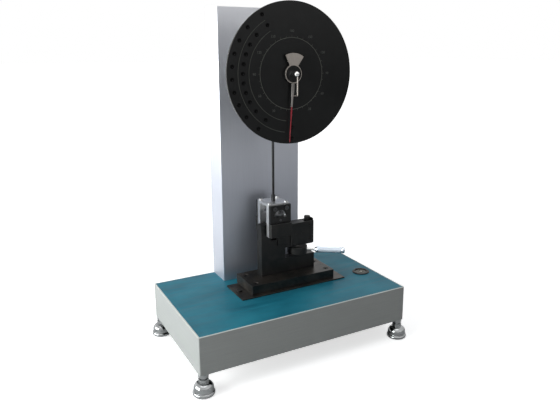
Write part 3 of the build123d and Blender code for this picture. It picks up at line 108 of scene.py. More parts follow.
def spread(tree, share, low, high, start=0.3, end=0.7):
    """Number that goes from low to high as share goes from start to end, and stays there."""
    limits = tree.nodes.new("ShaderNodeMapRange")
    limits.inputs["From Min"].default_value = start
    limits.inputs["From Max"].default_value = end
    limits.inputs["To Min"].default_value = low
    limits.inputs["To Max"].default_value = high
    tree.links.new(share, limits.inputs["Value"])
    return limits.outputs["Result"]


def object_axes(tree):
    """The three Object coordinates, in metres, as the outputs X, Y and Z."""
    place = tree.nodes.new("ShaderNodeTexCoord")
    axes = tree.nodes.new("ShaderNodeSeparateXYZ")
    tree.links.new(place.outputs["Object"], axes.inputs["Vector"])
    return axes.outputs


print("node helpers ready")

# %% Make the world
SEEN_LOW, SEEN_HIGH, SEEN_BACK = 0.40, 1.10, 1.0
LIGHT_FRONT, LIGHT_BACK = 0.07, 0.26
HEIGHT_START, HEIGHT_END = 0.02, 0.40
SIDE_START, SIDE_END = -0.5, 0.3

world = bpy.data.worlds.new("studio")
bpy.context.scene.world = world
world.use_nodes = True
tree = world.node_tree
tree.nodes.clear()
direction = tree.nodes.new("ShaderNodeTexCoord")
direction_parts = tree.nodes.new("ShaderNodeSeparateXYZ")
tree.links.new(direction.outputs["Generated"], direction_parts.inputs["Vector"])
towards_back = direction_parts.outputs["Y"]
seen = tree.nodes.new("ShaderNodeBackground")
seen.inputs["Color"].default_value = (1.0, 1.0, 1.0, 1.0)
front_strength = spread(
    tree, direction_parts.outputs["Z"], SEEN_LOW, SEEN_HIGH, HEIGHT_START, HEIGHT_END
)
is_back = spread(tree, towards_back, 0.0, 1.0, SIDE_START, SIDE_END)
difference = calculate(tree, "SUBTRACT", SEEN_BACK, front_strength)
seen_strength = calculate(tree, "MULTIPLY_ADD", difference, is_back, front_strength)
watched = calculate(tree, "MAXIMUM", seen_strength, light_path_share(tree, "Is Camera Ray"))
tree.links.new(watched, seen.inputs["Strength"])
lighting = tree.nodes.new("ShaderNodeBackground")
lighting.inputs["Color"].default_value = (0.93, 0.96, 1.0, 1.0)
light_strength = spread(tree, towards_back, LIGHT_FRONT, LIGHT_BACK, SIDE_START, SIDE_END)
tree.links.new(light_strength, lighting.inputs["Strength"])
either = tree.nodes.new("ShaderNodeMixShader")
world_out = tree.nodes.new("ShaderNodeOutputWorld")
shown = light_path_share(tree, "Is Camera Ray", "Is Glossy Ray", "Is Transmission Ray")
tree.links.new(shown, either.inputs[0])
tree.links.new(lighting.outputs[0], either.inputs[1])
tree.links.new(seen.outputs[0], either.inputs[2])
tree.links.new(either.outputs[0], world_out.inputs["Surface"])
print("world seen", SEEN_LOW, SEEN_HIGH, SEEN_BACK, "light", LIGHT_FRONT, LIGHT_BACK)

# %% Make the floor
FLOOR_SIZE = 60.0
FLOOR_COLOUR = (0.86, 0.865, 0.87, 1.0)
GLOW_NEAR, GLOW_FAR = 0.66, 1.0
GLOW_START, GLOW_END = 0.8, 4.0
BEHIND_START, BEHIND_END = 0.1, 1.0

floor_mesh = bpy.data.meshes.new("floor")
half = FLOOR_SIZE / 2
floor_mesh.from_pydata(
    [(-half, -half, 0), (half, -half, 0), (half, half, 0), (-half, half, 0)], [], [(0, 1, 2, 3)]
)
floor = bpy.data.objects.new("floor", floor_mesh)
bpy.context.scene.collection.objects.link(floor)
floor_material = bpy.data.materials.new("pale_floor")
floor_material.use_nodes = True
tree = floor_material.node_tree
shader = tree.nodes["Principled BSDF"]
shader.inputs["Base Color"].default_value = FLOOR_COLOUR
shader.inputs["Roughness"].default_value = 0.9
shader.inputs["Specular IOR Level"].default_value = 0.1
shader.inputs["Emission Color"].default_value = (1.0, 1.0, 1.0, 1.0)
floor_place = tree.nodes.new("ShaderNodeTexCoord")
away = tree.nodes.new("ShaderNodeVectorMath")
away.operation = "LENGTH"
tree.links.new(floor_place.outputs["Object"], away.inputs[0])
glow = spread(tree, away.outputs["Value"], GLOW_NEAR, GLOW_FAR, GLOW_START, GLOW_END)
behind = spread(tree, object_axes(tree)["Y"], 0.0, 1.0, BEHIND_START, BEHIND_END)
polished = light_path_share(tree, "Is Glossy Ray", "Is Transmission Ray")
mirrored = calculate(tree, "MULTIPLY", polished, behind)
watched = calculate(tree, "MAXIMUM", light_path_share(tree, "Is Camera Ray"), mirrored)
tree.links.new(calculate(tree, "MULTIPLY", glow, watched), shader.inputs["Emission Strength"])
floor_mesh.materials.append(floor_material)
print("floor", FLOOR_SIZE, "glow", GLOW_NEAR, GLOW_FAR)

# %% Hang the lamps
LAMPS = {
    "window": ((-2.8, 0.2, 0.85), (0.0, 0.0, 0.45), (2.8, 1.4), 114.0, (0.97, 1.0, 0.99)),
    "back_window": ((-1.7, 2.4, 0.9), (0.0, 0.1, 0.5), (1.8, 1.8), 5.0, (0.97, 1.0, 0.99)),
    "ceiling": ((-0.2, -0.2, 3.0), (0.0, 0.0, 0.1), (2.4, 2.4), 26.0, (1.0, 1.0, 1.0)),
    "room": ((1.4, -2.8, 1.6), (0.0, 0.0, 0.4), (1.8, 1.8), 2.0, (1.0, 0.98, 0.96)),
}
for lamp_name, (place, target, sizes, power, colour) in LAMPS.items():
    lamp_data = bpy.data.lights.new(lamp_name, "AREA")
    lamp_data.shape = "RECTANGLE"
    lamp_data.size, lamp_data.size_y = sizes
    lamp_data.energy = power
    lamp_data.color = colour
    lamp = bpy.data.objects.new(lamp_name, lamp_data)
    lamp.location = place
    lamp.rotation_euler = (Vector(target) - Vector(place)).to_track_quat("-Z", "Y").to_euler()
    bpy.context.scene.collection.objects.link(lamp)
bpy.context.scene.view_settings.view_transform = "Standard"
print("lamps", list(LAMPS))

# %% [markdown]
# ## Tools for finishes
# A finish is a Principled shader whose colour, roughness and relief come from noise on Object
# coordinates. Stretching the noise along one axis turns it into brushing, grinding or turning
# marks. Small helpers are enough: one makes the noise, one a colour between two tints, one the
# relief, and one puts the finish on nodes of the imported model.

# %% Helpers for finishes


def new_finish(name, metallic=0.0, roughness=0.5, specular=0.5, coat=0.0):
    """A material with a Principled shader; returns it with its tree and shader."""
    material = bpy.data.materials.new(name)
    material.use_nodes = True
    material_tree = material.node_tree
    shader = material_tree.nodes["Principled BSDF"]
    shader.inputs["Metallic"].default_value = metallic
    shader.inputs["Roughness"].default_value = roughness
    shader.inputs["Specular IOR Level"].default_value = specular
    shader.inputs["Coat Weight"].default_value = coat
    return material, material_tree, shader


def noise(material_tree, fineness, detail=3.0, distortion=0.0):
    """Noise on Object coordinates; fineness is the number of grains per metre on X, Y and Z."""
    place = material_tree.nodes.new("ShaderNodeTexCoord")
    mapping = material_tree.nodes.new("ShaderNodeMapping")
    mapping.inputs["Scale"].default_value = fineness
    grain = material_tree.nodes.new("ShaderNodeTexNoise")
    grain.inputs["Scale"].default_value = 1.0
    grain.inputs["Detail"].default_value = detail
    grain.inputs["Distortion"].default_value = distortion
    material_tree.links.new(place.outputs["Object"], mapping.inputs["Vector"])
    material_tree.links.new(mapping.outputs["Vector"], grain.inputs["Vector"])
    return grain.outputs["Fac"]


def between(material_tree, share, low, high, start=0.3, end=0.7):
    """Colour that goes from low to high as share goes from start to end."""
    ramp = material_tree.nodes.new("ShaderNodeValToRGB")
    ramp.color_ramp.elements[0].position = start
    ramp.color_ramp.elements[1].position = end
    ramp.color_ramp.elements[0].color = (*low, 1.0)
    ramp.color_ramp.elements[1].color = (*high, 1.0)
    material_tree.links.new(share, ramp.inputs["Fac"])
    return ramp.outputs["Color"]


def relief(material_tree, shader, share, depth, strength=0.4):
    """Bump of that depth in metres from a share, joined to the shader's normal."""
    bump = material_tree.nodes.new("ShaderNodeBump")
    bump.inputs["Distance"].default_value = depth
    bump.inputs["Strength"].default_value = strength
    material_tree.links.new(share, bump.inputs["Height"])
    material_tree.links.new(bump.outputs["Normal"], shader.inputs["Normal"])


def dress(material, *names):
    """Gives the CAD nodes of these names the material in every slot."""
    for name in names:
        mesh = nodes[name].data
        mesh.materials.clear()
        mesh.materials.append(material)


print("helpers ready")

# %% [markdown]
# ## Brushed sheet steel
# The column is folded from stainless sheet, and the base from sheet with a dull grey coat. The
# marks run along one axis, so the noise is over a hundred times finer across them than along
# them. They change the colour a little and the roughness more, which gives the sheet its long
# soft highlights. The column's colour is painted paler towards its top, as painted light, and
# darker lower down, as painted shade. The top of the base's rim is painted pale, a painted
# highlight on its edge.

# %% Brushed sheet for the column and the base
# The share of the tint ramp that the painted light and highlight take up.
PAINTED_LIGHT_SHARE, MARK_SHARE = 0.8, 0.25
TINT_START, TINT_END = 0.05, 1.0


def brushed_sheet(name, low, high, heights, fineness, rough, metallic, specular=0.5):
    """Brushed steel whose colour is painted from the low tint to the high one between two heights,
    as painted light and shade, with marks as long as the smallest fineness allows."""
    material, material_tree, shader = new_finish(name, metallic=metallic, specular=specular)
    marks = noise(material_tree, fineness, detail=5.0)
    clouds = noise(material_tree, (5.0, 5.0, 2.0), detail=2.0)
    # Painted light: between the two heights the colour rises towards the high tint. This is painted
    # light on the column's upper part and a painted highlight on the base's rim.
    height = spread(material_tree, object_axes(material_tree)["Z"], 0.0, PAINTED_LIGHT_SHARE, *heights)
    share = calculate(material_tree, "MULTIPLY_ADD", marks, MARK_SHARE, height)
    tint = between(material_tree, share, low, high, TINT_START, TINT_END)
    material_tree.links.new(tint, shader.inputs["Base Color"])
    half_marks = calculate(material_tree, "MULTIPLY", marks, 0.5)
    both = calculate(material_tree, "MULTIPLY_ADD", clouds, 0.5, half_marks)
    material_tree.links.new(spread(material_tree, both, *rough), shader.inputs["Roughness"])
    relief(material_tree, shader, marks, 0.00001, 0.15)
    return material


# Between these heights the column's colour is painted from shade below to light above.
COLUMN_PAINTED_LIGHT_HEIGHTS = (0.35, 0.78)
# The base's rim is painted pale near its top, a painted highlight of its edge.
RIM_HIGHLIGHT_START, RIM_HIGHLIGHT_END = 0.0012, 0.0002
rim_top = float(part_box("base_frame")[1][2])
rim_highlight_heights = (rim_top - RIM_HIGHLIGHT_START, rim_top - RIM_HIGHLIGHT_END)
column_sheet = brushed_sheet(
    "column_sheet", (0.42, 0.44, 0.50), (0.92, 0.93, 0.98), COLUMN_PAINTED_LIGHT_HEIGHTS, (1400.0, 1400.0, 9.0),
    (0.40, 0.48), 0.75,
)
base_sheet = brushed_sheet(
    "base_sheet", (0.29, 0.30, 0.295), (0.72, 0.75, 0.73), rim_highlight_heights, (14.0, 14.0, 1600.0),
    (0.5, 0.65), 0.0, 0.2,
)
dress(column_sheet, "column_cover", "column_back_cover")
dress(base_sheet, "base_frame")
print("brushed sheet ready, rim at", round(rim_top, 4))

# %% [markdown]
# ## The teal top
# The top of the base is a sheet with a thin teal film. The film isn't even: it is darker where
# it was rubbed and paler in long streaks. Two noises of different size give the clouds and the
# streaks, and the roughness follows the streaks.

# %% Teal film on the top sheet
CLOUD_SHARE, STREAK_SHARE = 0.65, 0.35
teal_film, tree, shader = new_finish("teal_film", roughness=0.45, specular=0.18)
streaks = noise(tree, (6.0, 160.0, 6.0), detail=6.0, distortion=0.1)
clouds = noise(tree, (9.0, 13.0, 9.0), detail=4.0, distortion=0.2)
part_clouds = calculate(tree, "MULTIPLY", clouds, CLOUD_SHARE)
mixed = calculate(tree, "MULTIPLY_ADD", streaks, STREAK_SHARE, part_clouds)
film_tint = between(tree, mixed, (0.004, 0.104, 0.158), (0.020, 0.212, 0.290), 0.32, 0.70)
tree.links.new(film_tint, shader.inputs["Base Color"])
tree.links.new(spread(tree, streaks, 0.34, 0.55), shader.inputs["Roughness"])
relief(tree, shader, streaks, 0.00005, 0.15)
dress(teal_film, "top_panel")
print("teal film on top_panel")

# %% [markdown]
# ## Blackened and black anodised metal
# The vise is steel blackened after grinding: nearly black, a little brown where the grinding
# shows through, with a satin shine. The dial and the front plates of the hammer are aluminium,
# anodised black, which is smoother and has no brown in it. The studs in the dial get a matt
# near-black, darker than the dial, which is painted shade for the dark inside their recesses.

# %% Black finishes


def blackened_steel(name, low, high, fineness, rough):
    """Oxide black over ground steel: tints between low and high, roughness from the marks."""
    material, material_tree, shader = new_finish(name, metallic=0.55, specular=0.45)
    marks = noise(material_tree, fineness, detail=6.0)
    patches = noise(material_tree, (28.0, 28.0, 28.0), detail=4.0, distortion=0.6)
    tint = between(material_tree, patches, low, high, 0.38, 0.68)
    material_tree.links.new(tint, shader.inputs["Base Color"])
    material_tree.links.new(spread(material_tree, marks, *rough), shader.inputs["Roughness"])
    relief(material_tree, shader, marks, 0.00003, 0.3)
    return material


vise_black = blackened_steel(
    "vise_black", (0.010, 0.011, 0.011), (0.022, 0.021, 0.020), (60.0, 900.0, 900.0), (0.34, 0.52)
)
bed_black = blackened_steel(
    "bed_black", (0.013, 0.013, 0.012), (0.045, 0.038, 0.032), (40.0, 700.0, 700.0), (0.26, 0.46)
)
rod_black = blackened_steel(
    "rod_black", (0.012, 0.012, 0.013), (0.030, 0.030, 0.032), (900.0, 900.0, 60.0), (0.25, 0.40)
)
dress(
    vise_black, "vise_body", "moving_jaw", "moving_jaw_plate", "fixed_jaw_plate", "jaw_cover",
    "jaw_end_plate", "locating_post", "cam_hub", "vise_screws", "hammer_weights", "level_case",
)
dress(bed_black, "vise_bed_plate", "vise_sole_plate")
dress(rod_black, "pendulum_rod", "rod_nuts", "mast", "bottom_cover")

anodised, tree, shader = new_finish("black_anodised", specular=0.25)
haze = noise(tree, (9.0, 9.0, 6.0), detail=3.0)
haze_tint = between(tree, haze, (0.0085, 0.0090, 0.0090), (0.0150, 0.0150, 0.0150))
tree.links.new(haze_tint, shader.inputs["Base Color"])
tree.links.new(spread(tree, haze, 0.20, 0.27), shader.inputs["Roughness"])
dress(anodised, "dial_plate", "hammer_plates", "dial_bush", "bush_cap")

# Near-black for the dial's studs, darker than the dial, as painted shade for their recesses.
painted_shade_black, tree, shader = new_finish("painted_shade_black", roughness=0.6, specular=0.05)
shade_grain = noise(tree, (300.0, 300.0, 300.0))
painted_shade_tint = between(tree, shade_grain, (0.001, 0.001, 0.001), (0.003, 0.003, 0.003))
tree.links.new(painted_shade_tint, shader.inputs["Base Color"])
print("black finishes ready")

# %% [markdown]
# ## Bright metals
# The hammer's upright plates and top are milled aluminium, pale with fine cutter marks. Shafts
# and most screws are ground steel, and the striking nose is darker. The feet are smooth chrome.
# The hammer's screws are bright above its top plane and dark below it, so their colour reads the
# height.

# %% Bright finishes


def bright_metal(name, low, high, fineness, rough):
    """Bare metal between two tints whose machining marks set the roughness and the relief."""
    material, material_tree, shader = new_finish(name, metallic=1.0)
    marks = noise(material_tree, fineness, detail=4.0)
    tint = between(material_tree, marks, low, high)
    material_tree.links.new(tint, shader.inputs["Base Color"])
    material_tree.links.new(spread(material_tree, marks, *rough), shader.inputs["Roughness"])
    relief(material_tree, shader, marks, 0.00001, 0.25)
    return material


milled_aluminium = bright_metal(
    "milled_aluminium", (0.62, 0.63, 0.64), (0.78, 0.79, 0.80), (30.0, 1500.0, 260.0), (0.26, 0.42)
)
ground_steel = bright_metal(
    "ground_steel", (0.50, 0.50, 0.50), (0.66, 0.66, 0.65), (1100.0, 90.0, 1100.0), (0.18, 0.32)
)
polished_steel = bright_metal(
    "polished_steel", (0.70, 0.70, 0.69), (0.80, 0.80, 0.79), (300.0, 900.0, 900.0), (0.10, 0.20)
)
foot_chrome = bright_metal(
    "foot_chrome", (0.30, 0.31, 0.315), (0.38, 0.39, 0.395), (160.0, 160.0, 160.0), (0.08, 0.18)
)
striker_steel = bright_metal(
    "striker_steel", (0.16, 0.165, 0.17), (0.26, 0.265, 0.27), (300.0, 900.0, 900.0), (0.22, 0.32)
)
pointer_metal = bright_metal(
    "pointer_metal", (0.34, 0.31, 0.28), (0.42, 0.38, 0.35), (700.0, 700.0, 80.0), (0.38, 0.52)
)
dress(
    milled_aluminium, "hammer_top", "hammer_leg_front", "hammer_leg_rear", "dial_bracket",
    "pendulum_hub",
)
dress(striker_steel, "striker")
dress(
    ground_steel, "shaft", "bearing_housing", "bearing_outer_rings", "bearing_inner_rings",
    "housing_screws", "dial_pillars", "dial_screws", "sheet_screws", "mast_bolts", "latch_post",
    "latch_hook", "cam_spindle",
)
dress(polished_steel, "driver_ball", "lever_rod")
dress(pointer_metal, "pointer_ring", "driver_finger")
corners = ("front_left", "front_right", "rear_left", "rear_right")
dress(foot_chrome, "foot_locknuts", *[f"foot_stem_{corner}" for corner in corners])
print("bright finishes ready")

# %% Screws of the hammer
SCREW_EDGE = 0.0002
TOP_SHARE, GRAIN_SHARE = 0.85, 0.15
hammer_screws, tree, shader = new_finish("hammer_screws", metallic=0.9, roughness=0.32)
top_plane = float(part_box("hammer_top")[1][2])
on_top = spread(tree, object_axes(tree)["Z"], 0.0, TOP_SHARE, top_plane, top_plane + SCREW_EDGE)
screw_grain = noise(tree, (700.0, 700.0, 700.0))
screw_share = calculate(tree, "MULTIPLY_ADD", screw_grain, GRAIN_SHARE, on_top)
screw_tint = between(tree, screw_share, (0.045, 0.047, 0.050), (0.60, 0.60, 0.60), 0.0, 1.0)
tree.links.new(screw_tint, shader.inputs["Base Color"])
dress(hammer_screws, "pendulum_screws")
print("hammer screws bright above", round(top_plane, 4))

# %% [markdown]
# ## Surfaces from two parameters
# Every new piece below is a grid of points: one parameter runs along a profile and the other
# round an axis or along a path. The points are worked out as whole arrays. One function turns
# any such grid into a mesh, merges what meets at seams and poles, and sets its body.

# %% Helpers for surfaces


def grid_faces(rows, columns, wrap_rows=False, wrap_columns=False):
    """Quads of a grid whose point (i, j) has number i * columns + j. Each quad joins (i, j),
    (i + 1, j), (i + 1, j + 1) and (i, j + 1), counted round where the grid wraps."""
    row_count = rows if wrap_rows else rows - 1
    column_count = columns if wrap_columns else columns - 1
    i, j = np.meshgrid(np.arange(row_count), np.arange(column_count), indexing="ij")
    after_i, after_j = (i + 1) % rows, (j + 1) % columns
    corners_of = [(i, j), (after_i, j), (after_i, after_j), (i, after_j)]
    return np.stack([row * columns + column for row, column in corners_of], axis=-1).reshape(-1, 4)


def revolve(profile, steps):
    """Points of a profile of (radius, height) pairs turned round an axis, as (steps, n, 3):
    x = radius * cos(turn), y = radius * sin(turn), z = height."""
    turn = np.linspace(0.0, 2 * np.pi, steps, endpoint=False)[:, None]
    radius, height = np.asarray(profile, dtype=float).T
    return np.stack(
        [radius * np.cos(turn), radius * np.sin(turn), np.broadcast_to(height, (steps, len(height)))],
        axis=-1,
    )


def make_piece(name, points, faces, material, body, slot, stands_for=(), sharp=35.0, flat=False):
    """Puts points and quads into a mesh, merges doubles, turns all faces outwards unless the
    piece is flat, and lets the piece ride on its body. The slot, the record's material that the
    finish belongs to, is not used. Edges sharper than that many degrees stay sharp."""
    mesh = bpy.data.meshes.new(name)
    mesh.from_pydata(np.asarray(points).reshape(-1, 3).tolist(), [], np.asarray(faces).tolist())
    work = bmesh.new()
    work.from_mesh(mesh)
    bmesh.ops.remove_doubles(work, verts=work.verts, dist=1e-7)
    bmesh.ops.dissolve_degenerate(work, edges=work.edges, dist=1e-8)
    if not flat:
        bmesh.ops.recalc_face_normals(work, faces=work.faces)
    work.to_mesh(mesh)
    work.free()
    mesh.polygons.foreach_set("use_smooth", np.ones(len(mesh.polygons), dtype=bool))
    mesh.set_sharp_from_angle(angle=math.radians(sharp))
    mesh.materials.append(material)
    piece = bpy.data.objects.new(name, mesh)
    bpy.context.scene.collection.objects.link(piece)
    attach(piece, body)
    if stands_for:
        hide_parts(*stands_for)
    print(name, len(mesh.vertices), "points", len(mesh.polygons), "faces")
    return piece


# %% [markdown]
# ## The dial's engraved scale
# The dial is a black disc with a thin ring, ticks round it and numbers outside them. On the
# left two fainter part circles guide the eye along the energy marks. All lines are flat bands
# that lie a hair in front of the face, because real ones are only thin paint.

# %% Measure the dial
PAINT_LIFT = 0.00004
RELEASE_ANGLE = 150.0
dial_low, dial_high = (np.array(corner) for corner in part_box("dial_plate"))
dial_middle = (dial_low + dial_high) / 2
dial_radius = (dial_high[0] - dial_low[0]) / 2
paint_y = dial_low[1] - PAINT_LIFT
SCALE_RADIUS = 0.501 * dial_radius
NUMBER_RADIUS = 0.590 * dial_radius
ARC_RADII = (0.671 * dial_radius, 0.834 * dial_radius)
print("dial radius", round(float(dial_radius), 4))


def on_dial(radius, angle, y=paint_y):
    """Point on the dial; angle in degrees runs clockwise from straight down."""
    turn = np.radians(angle)
    x = dial_middle[0] - radius * np.sin(turn)
    z = dial_middle[2] - radius * np.cos(turn)
    return np.stack([x, np.broadcast_to(y, np.shape(x)), z], axis=-1)


# %% Paint for the dial's lines and numbers


def scale_paint(name, low, high):
    """Thin matt paint, between two tints."""
    material, material_tree, shader = new_finish(name, roughness=0.55)
    grain = noise(material_tree, (900.0, 900.0, 900.0), detail=3.0)
    tint = between(material_tree, grain, low, high)
    material_tree.links.new(tint, shader.inputs["Base Color"])
    return material


dial_paint = scale_paint("dial_paint", (0.055, 0.058, 0.048), (0.090, 0.094, 0.080))
arc_paint = scale_paint("arc_paint", (0.020, 0.023, 0.018), (0.042, 0.045, 0.036))
number_paint = scale_paint("number_paint", (0.045, 0.048, 0.044), (0.080, 0.084, 0.076))


def band(radius, width, start, end, steps):
    """Flat band on the dial between two angles: a grid of steps along it by 2 across it."""
    angle = np.linspace(start, end, steps)[:, None]
    across = np.array([radius - width / 2, radius + width / 2])[None, :]
    return on_dial(across + 0 * angle, angle + 0 * across), grid_faces(steps, 2)


def ticks(angles, inner, outer, width):
    """One flat quad for each angle, from the inner to the outer radius, of even width."""
    lean = np.degrees(width / 2 / ((inner + outer) / 2))
    radius = np.array([inner, inner, outer, outer])[None, :]
    angle = np.asarray(angles)[:, None] + np.array([-lean, lean, lean, -lean])[None, :]
    points = on_dial(radius + 0 * angle, angle + 0 * radius)
    return points, np.arange(points.shape[0] * 4).reshape(-1, 4)


def joined(parts):
    """Several flat (points, faces) pairs as one, with the faces' numbers moved up in turn. A face
    whose normal, (second - first) x (third - first), points to +Y is reversed, so that all of
    them look to the front."""
    points = [np.asarray(p).reshape(-1, 3) for p, _ in parts]
    starts = np.cumsum([0] + [len(p) for p in points[:-1]])
    faces = np.concatenate([np.asarray(f) + start for (_, f), start in zip(parts, starts)])
    points = np.concatenate(points)
    first, second, third = (points[faces[:, corner]] for corner in range(3))
    backwards = np.cross(second - first, third - first)[:, 1] > 0
    faces[backwards] = faces[backwards, ::-1]
    return points, faces


# %% Lay the rings and ticks
LINE, RING_LINE, ARC_LINE = 0.0008, 0.0012, 0.0014
SHORT_TICK, LONG_TICK = 0.0018, 0.0040
RING_STEPS, ARC_STEPS, ARC_START = 241, 121, 8.0
lines = [
    band(SCALE_RADIUS, RING_LINE, 0.0, 360.0, RING_STEPS),
    ticks(np.arange(0.0, 360.0, 2.0), SCALE_RADIUS, SCALE_RADIUS + SHORT_TICK, LINE / 2),
    ticks(np.arange(0.0, 360.0, 10.0), SCALE_RADIUS, SCALE_RADIUS + LONG_TICK, LINE),
]
arcs = [band(radius, ARC_LINE, ARC_START, RELEASE_ANGLE, ARC_STEPS) for radius in ARC_RADII]
make_piece("dial_scale", *joined(lines), dial_paint, "frame", "white_enamel", flat=True)
make_piece("dial_arcs", *joined(arcs), arc_paint, "frame", "white_enamel", flat=True)


# %% Set the numbers
def number_outline(text, radius, angle, size):
    """Triangles of a number lying flat on the dial, centred at that radius and angle."""
    curve = bpy.data.curves.new("number", "FONT")
    curve.body, curve.size = text, size
    curve.align_x, curve.align_y = "CENTER", "CENTER"
    holder = bpy.data.objects.new("number", curve)
    flat = bpy.data.meshes.new_from_object(holder)
    flat.calc_loop_triangles()
    points = np.empty(len(flat.vertices) * 3)
    flat.vertices.foreach_get("co", points)
    triangles = np.empty(len(flat.loop_triangles) * 3, dtype=int)
    flat.loop_triangles.foreach_get("vertices", triangles)
    points = points.reshape(-1, 3)
    place = on_dial(radius, np.array(angle))
    upright = np.stack([points[:, 0], 0 * points[:, 0], points[:, 1]], axis=-1) + place
    bpy.data.objects.remove(holder)
    bpy.data.meshes.remove(flat)
    bpy.data.curves.remove(curve)
    return upright, triangles.reshape(-1, 3)


NUMBER_SIZE, NUMBER_STEP = 0.0075, 30
numbers = [
    number_outline(str(min(angle, 360 - angle)), NUMBER_RADIUS, float(angle), NUMBER_SIZE)
    for angle in range(0, 360, NUMBER_STEP)
]
make_piece("dial_numbers", *joined(numbers), number_paint, "frame", "white_enamel", flat=True)

# %% [markdown]
# ## Studs in the energy marks
# Each energy mark is a shallow round recess with a stud in it, coloured near-black as painted
# shade for the dark of the recess, and a small pin beside the middle that catches the light. The
# angles follow the law of the pendulum: a swing that ends at angle b has lost a share of its
# energy that grows with cos(b). All studs are one profile, turned round its own axis and copied
# by adding places, and so are the pins.

# %% Turn the studs and pins
MARK_CIRCLES = {0.7608 * dial_radius: 11, 0.9236 * dial_radius: 10}
STUD = np.array(
    [(0.0, 0.9), (1.3, 0.9), (1.5, 0.35), (3.2, 0.25), (3.9, 0.6), (3.9, 1.15), (0.0, 1.15)]
) * 0.001
PIN = np.array([(0.0, 0.1), (0.5, 0.15), (0.9, 0.5), (0.9, 0.85), (0.0, 0.85)]) * 0.001
PIN_SHIFT = np.array([0.0012, 0.0, -0.0014])
STUD_STEPS, PIN_STEPS = 20, 12


def mark_angles(steps):
    """Angles left after losing step / steps of the energy: acos(1 - (1 - cos release) * rest)."""
    rest = 1 - np.arange(steps + 1) / steps
    return np.degrees(np.arccos(1 - (1 - np.cos(np.radians(RELEASE_ANGLE))) * rest))


places = np.concatenate(
    [on_dial(radius, mark_angles(steps), dial_low[1]) for radius, steps in MARK_CIRCLES.items()]
)


def at_marks(profile, steps, shift=(0.0, 0.0, 0.0)):
    """Points and quads of a profile turned round an axis along Y, as (x, height, y) of revolve,
    and copied to every mark's place plus the shift."""
    turned = revolve(profile, steps)
    one = np.stack([turned[..., 0], turned[..., 2], turned[..., 1]], axis=-1)
    starts = np.arange(len(places))[:, None, None] * one[..., 0].size
    quads = grid_faces(steps, len(profile), wrap_rows=True)[None] + starts
    return places[:, None, None, :] + shift + one[None], quads.reshape(-1, 4)


# The studs' near-black stands in for the shade inside the recesses: painted shade.
make_piece("mark_studs", *at_marks(STUD, STUD_STEPS), painted_shade_black, "frame", "black_aluminium")
make_piece("mark_pins", *at_marks(PIN, PIN_STEPS, PIN_SHIFT), rod_black, "frame", "black_steel")

# %% [markdown]
# ## The needle
# The needle starts as a flat bar riveted to the ring, steps down to a narrower bar and ends in
# a slim red tip. A grid does this well: one parameter runs along the needle with the width as
# a function of the distance, the other round a rounded section. The red starts at one distance,
# so the finish reads the height along the needle.

# %% Shape the needle
NEEDLE_STEPS = np.array([0.0185, 0.0475, 0.0485, 0.0695, 0.0705, 0.1470])
NEEDLE_WIDTHS = np.array([0.0070, 0.0070, 0.0046, 0.0042, 0.0030, 0.0014])
NEEDLE_ROWS, NEEDLE_SIDES = 60, 16
NEEDLE_ANGLE = 4.0
SQUARENESS = 0.6


def half_rounded(wave):
    """Half of a wave made squarer, sign(wave) * |wave| ** squareness / 2, for a flat section."""
    return np.sign(wave) * np.abs(wave) ** SQUARENESS / 2


needle_low, needle_high = (np.array(corner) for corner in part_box("pointer_needle"))
needle_tilt = math.radians(NEEDLE_ANGLE)
needle_rows = np.linspace(NEEDLE_STEPS[0], NEEDLE_STEPS[-1], NEEDLE_ROWS)
needle_reach = np.unique(np.concatenate([needle_rows, NEEDLE_STEPS]))[:, None]
around = np.linspace(0.0, 2 * np.pi, NEEDLE_SIDES, endpoint=False)
closing = np.ones_like(needle_reach)
closing[[0, -1]] = 0.0
needle_width = np.interp(needle_reach, NEEDLE_STEPS, NEEDLE_WIDTHS) * closing
side = needle_width * half_rounded(np.cos(around))
front = (needle_high[1] - needle_low[1]) * half_rounded(np.sin(around)) * closing
needle_points = np.stack(
    [
        dial_middle[0] - needle_reach * math.sin(needle_tilt) + side * math.cos(needle_tilt),
        (needle_low[1] + needle_high[1]) / 2 + front,
        dial_middle[2] - needle_reach * math.cos(needle_tilt) - side * math.sin(needle_tilt),
    ],
    axis=-1,
)
print("needle rows", len(needle_reach))

# %% Finish the needle
RED_START = 0.070
RED_EDGE = 0.0004
needle_finish, tree, shader = new_finish("needle_enamel", roughness=0.38)
red_limit = float(dial_middle[2] - RED_START * math.cos(needle_tilt))
is_red = spread(tree, object_axes(tree)["Z"], 1.0, 0.0, red_limit, red_limit + RED_EDGE)
enamel_grain = noise(tree, (260.0, 260.0, 90.0), detail=3.0)
reds = between(tree, enamel_grain, (0.33, 0.016, 0.030), (0.46, 0.030, 0.045))
greys = between(tree, enamel_grain, (0.27, 0.25, 0.23), (0.38, 0.35, 0.33))
either_colour = tree.nodes.new("ShaderNodeMix")
either_colour.data_type = "RGBA"
tree.links.new(is_red, either_colour.inputs[0])
tree.links.new(greys, either_colour.inputs[6])
tree.links.new(reds, either_colour.inputs[7])
tree.links.new(either_colour.outputs[2], shader.inputs["Base Color"])
make_piece(
    "needle", needle_points, grid_faces(len(needle_reach), NEEDLE_SIDES, wrap_columns=True),
    needle_finish, "pointer", "needle_red", ["pointer_needle"],
)

# %% [markdown]
# ## Turned feet
# Each foot is a chromed bell: a rounded rim, a small step and a dome up to the neck. The CAD
# solid has the right size, and this surface gives it the smooth dome and soft edges that a
# lathe and plating leave. One profile serves all four, and only the place changes. Its sizes
# are shares of the pad's radius and height.

# %% Turn the foot pads
foot_low, foot_high = (np.array(corner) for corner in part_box("foot_pad_front_left"))
pad_radius = (foot_high[0] - foot_low[0]) / 2
pad_height = foot_high[2]
RIM_SHARE, DOME_SHARE = 0.18, 0.445
NECK_SHARE, SHOULDER_SHARE, STEP_SHARE, BORE_SHARE = 0.468, 0.894, 0.906, 0.30
STEP_HEIGHTS, BORE_HEIGHT = (0.375, 0.40), 0.9
RIM_ROWS, DOME_ROWS, PAD_SIDES = 10, 14, 64


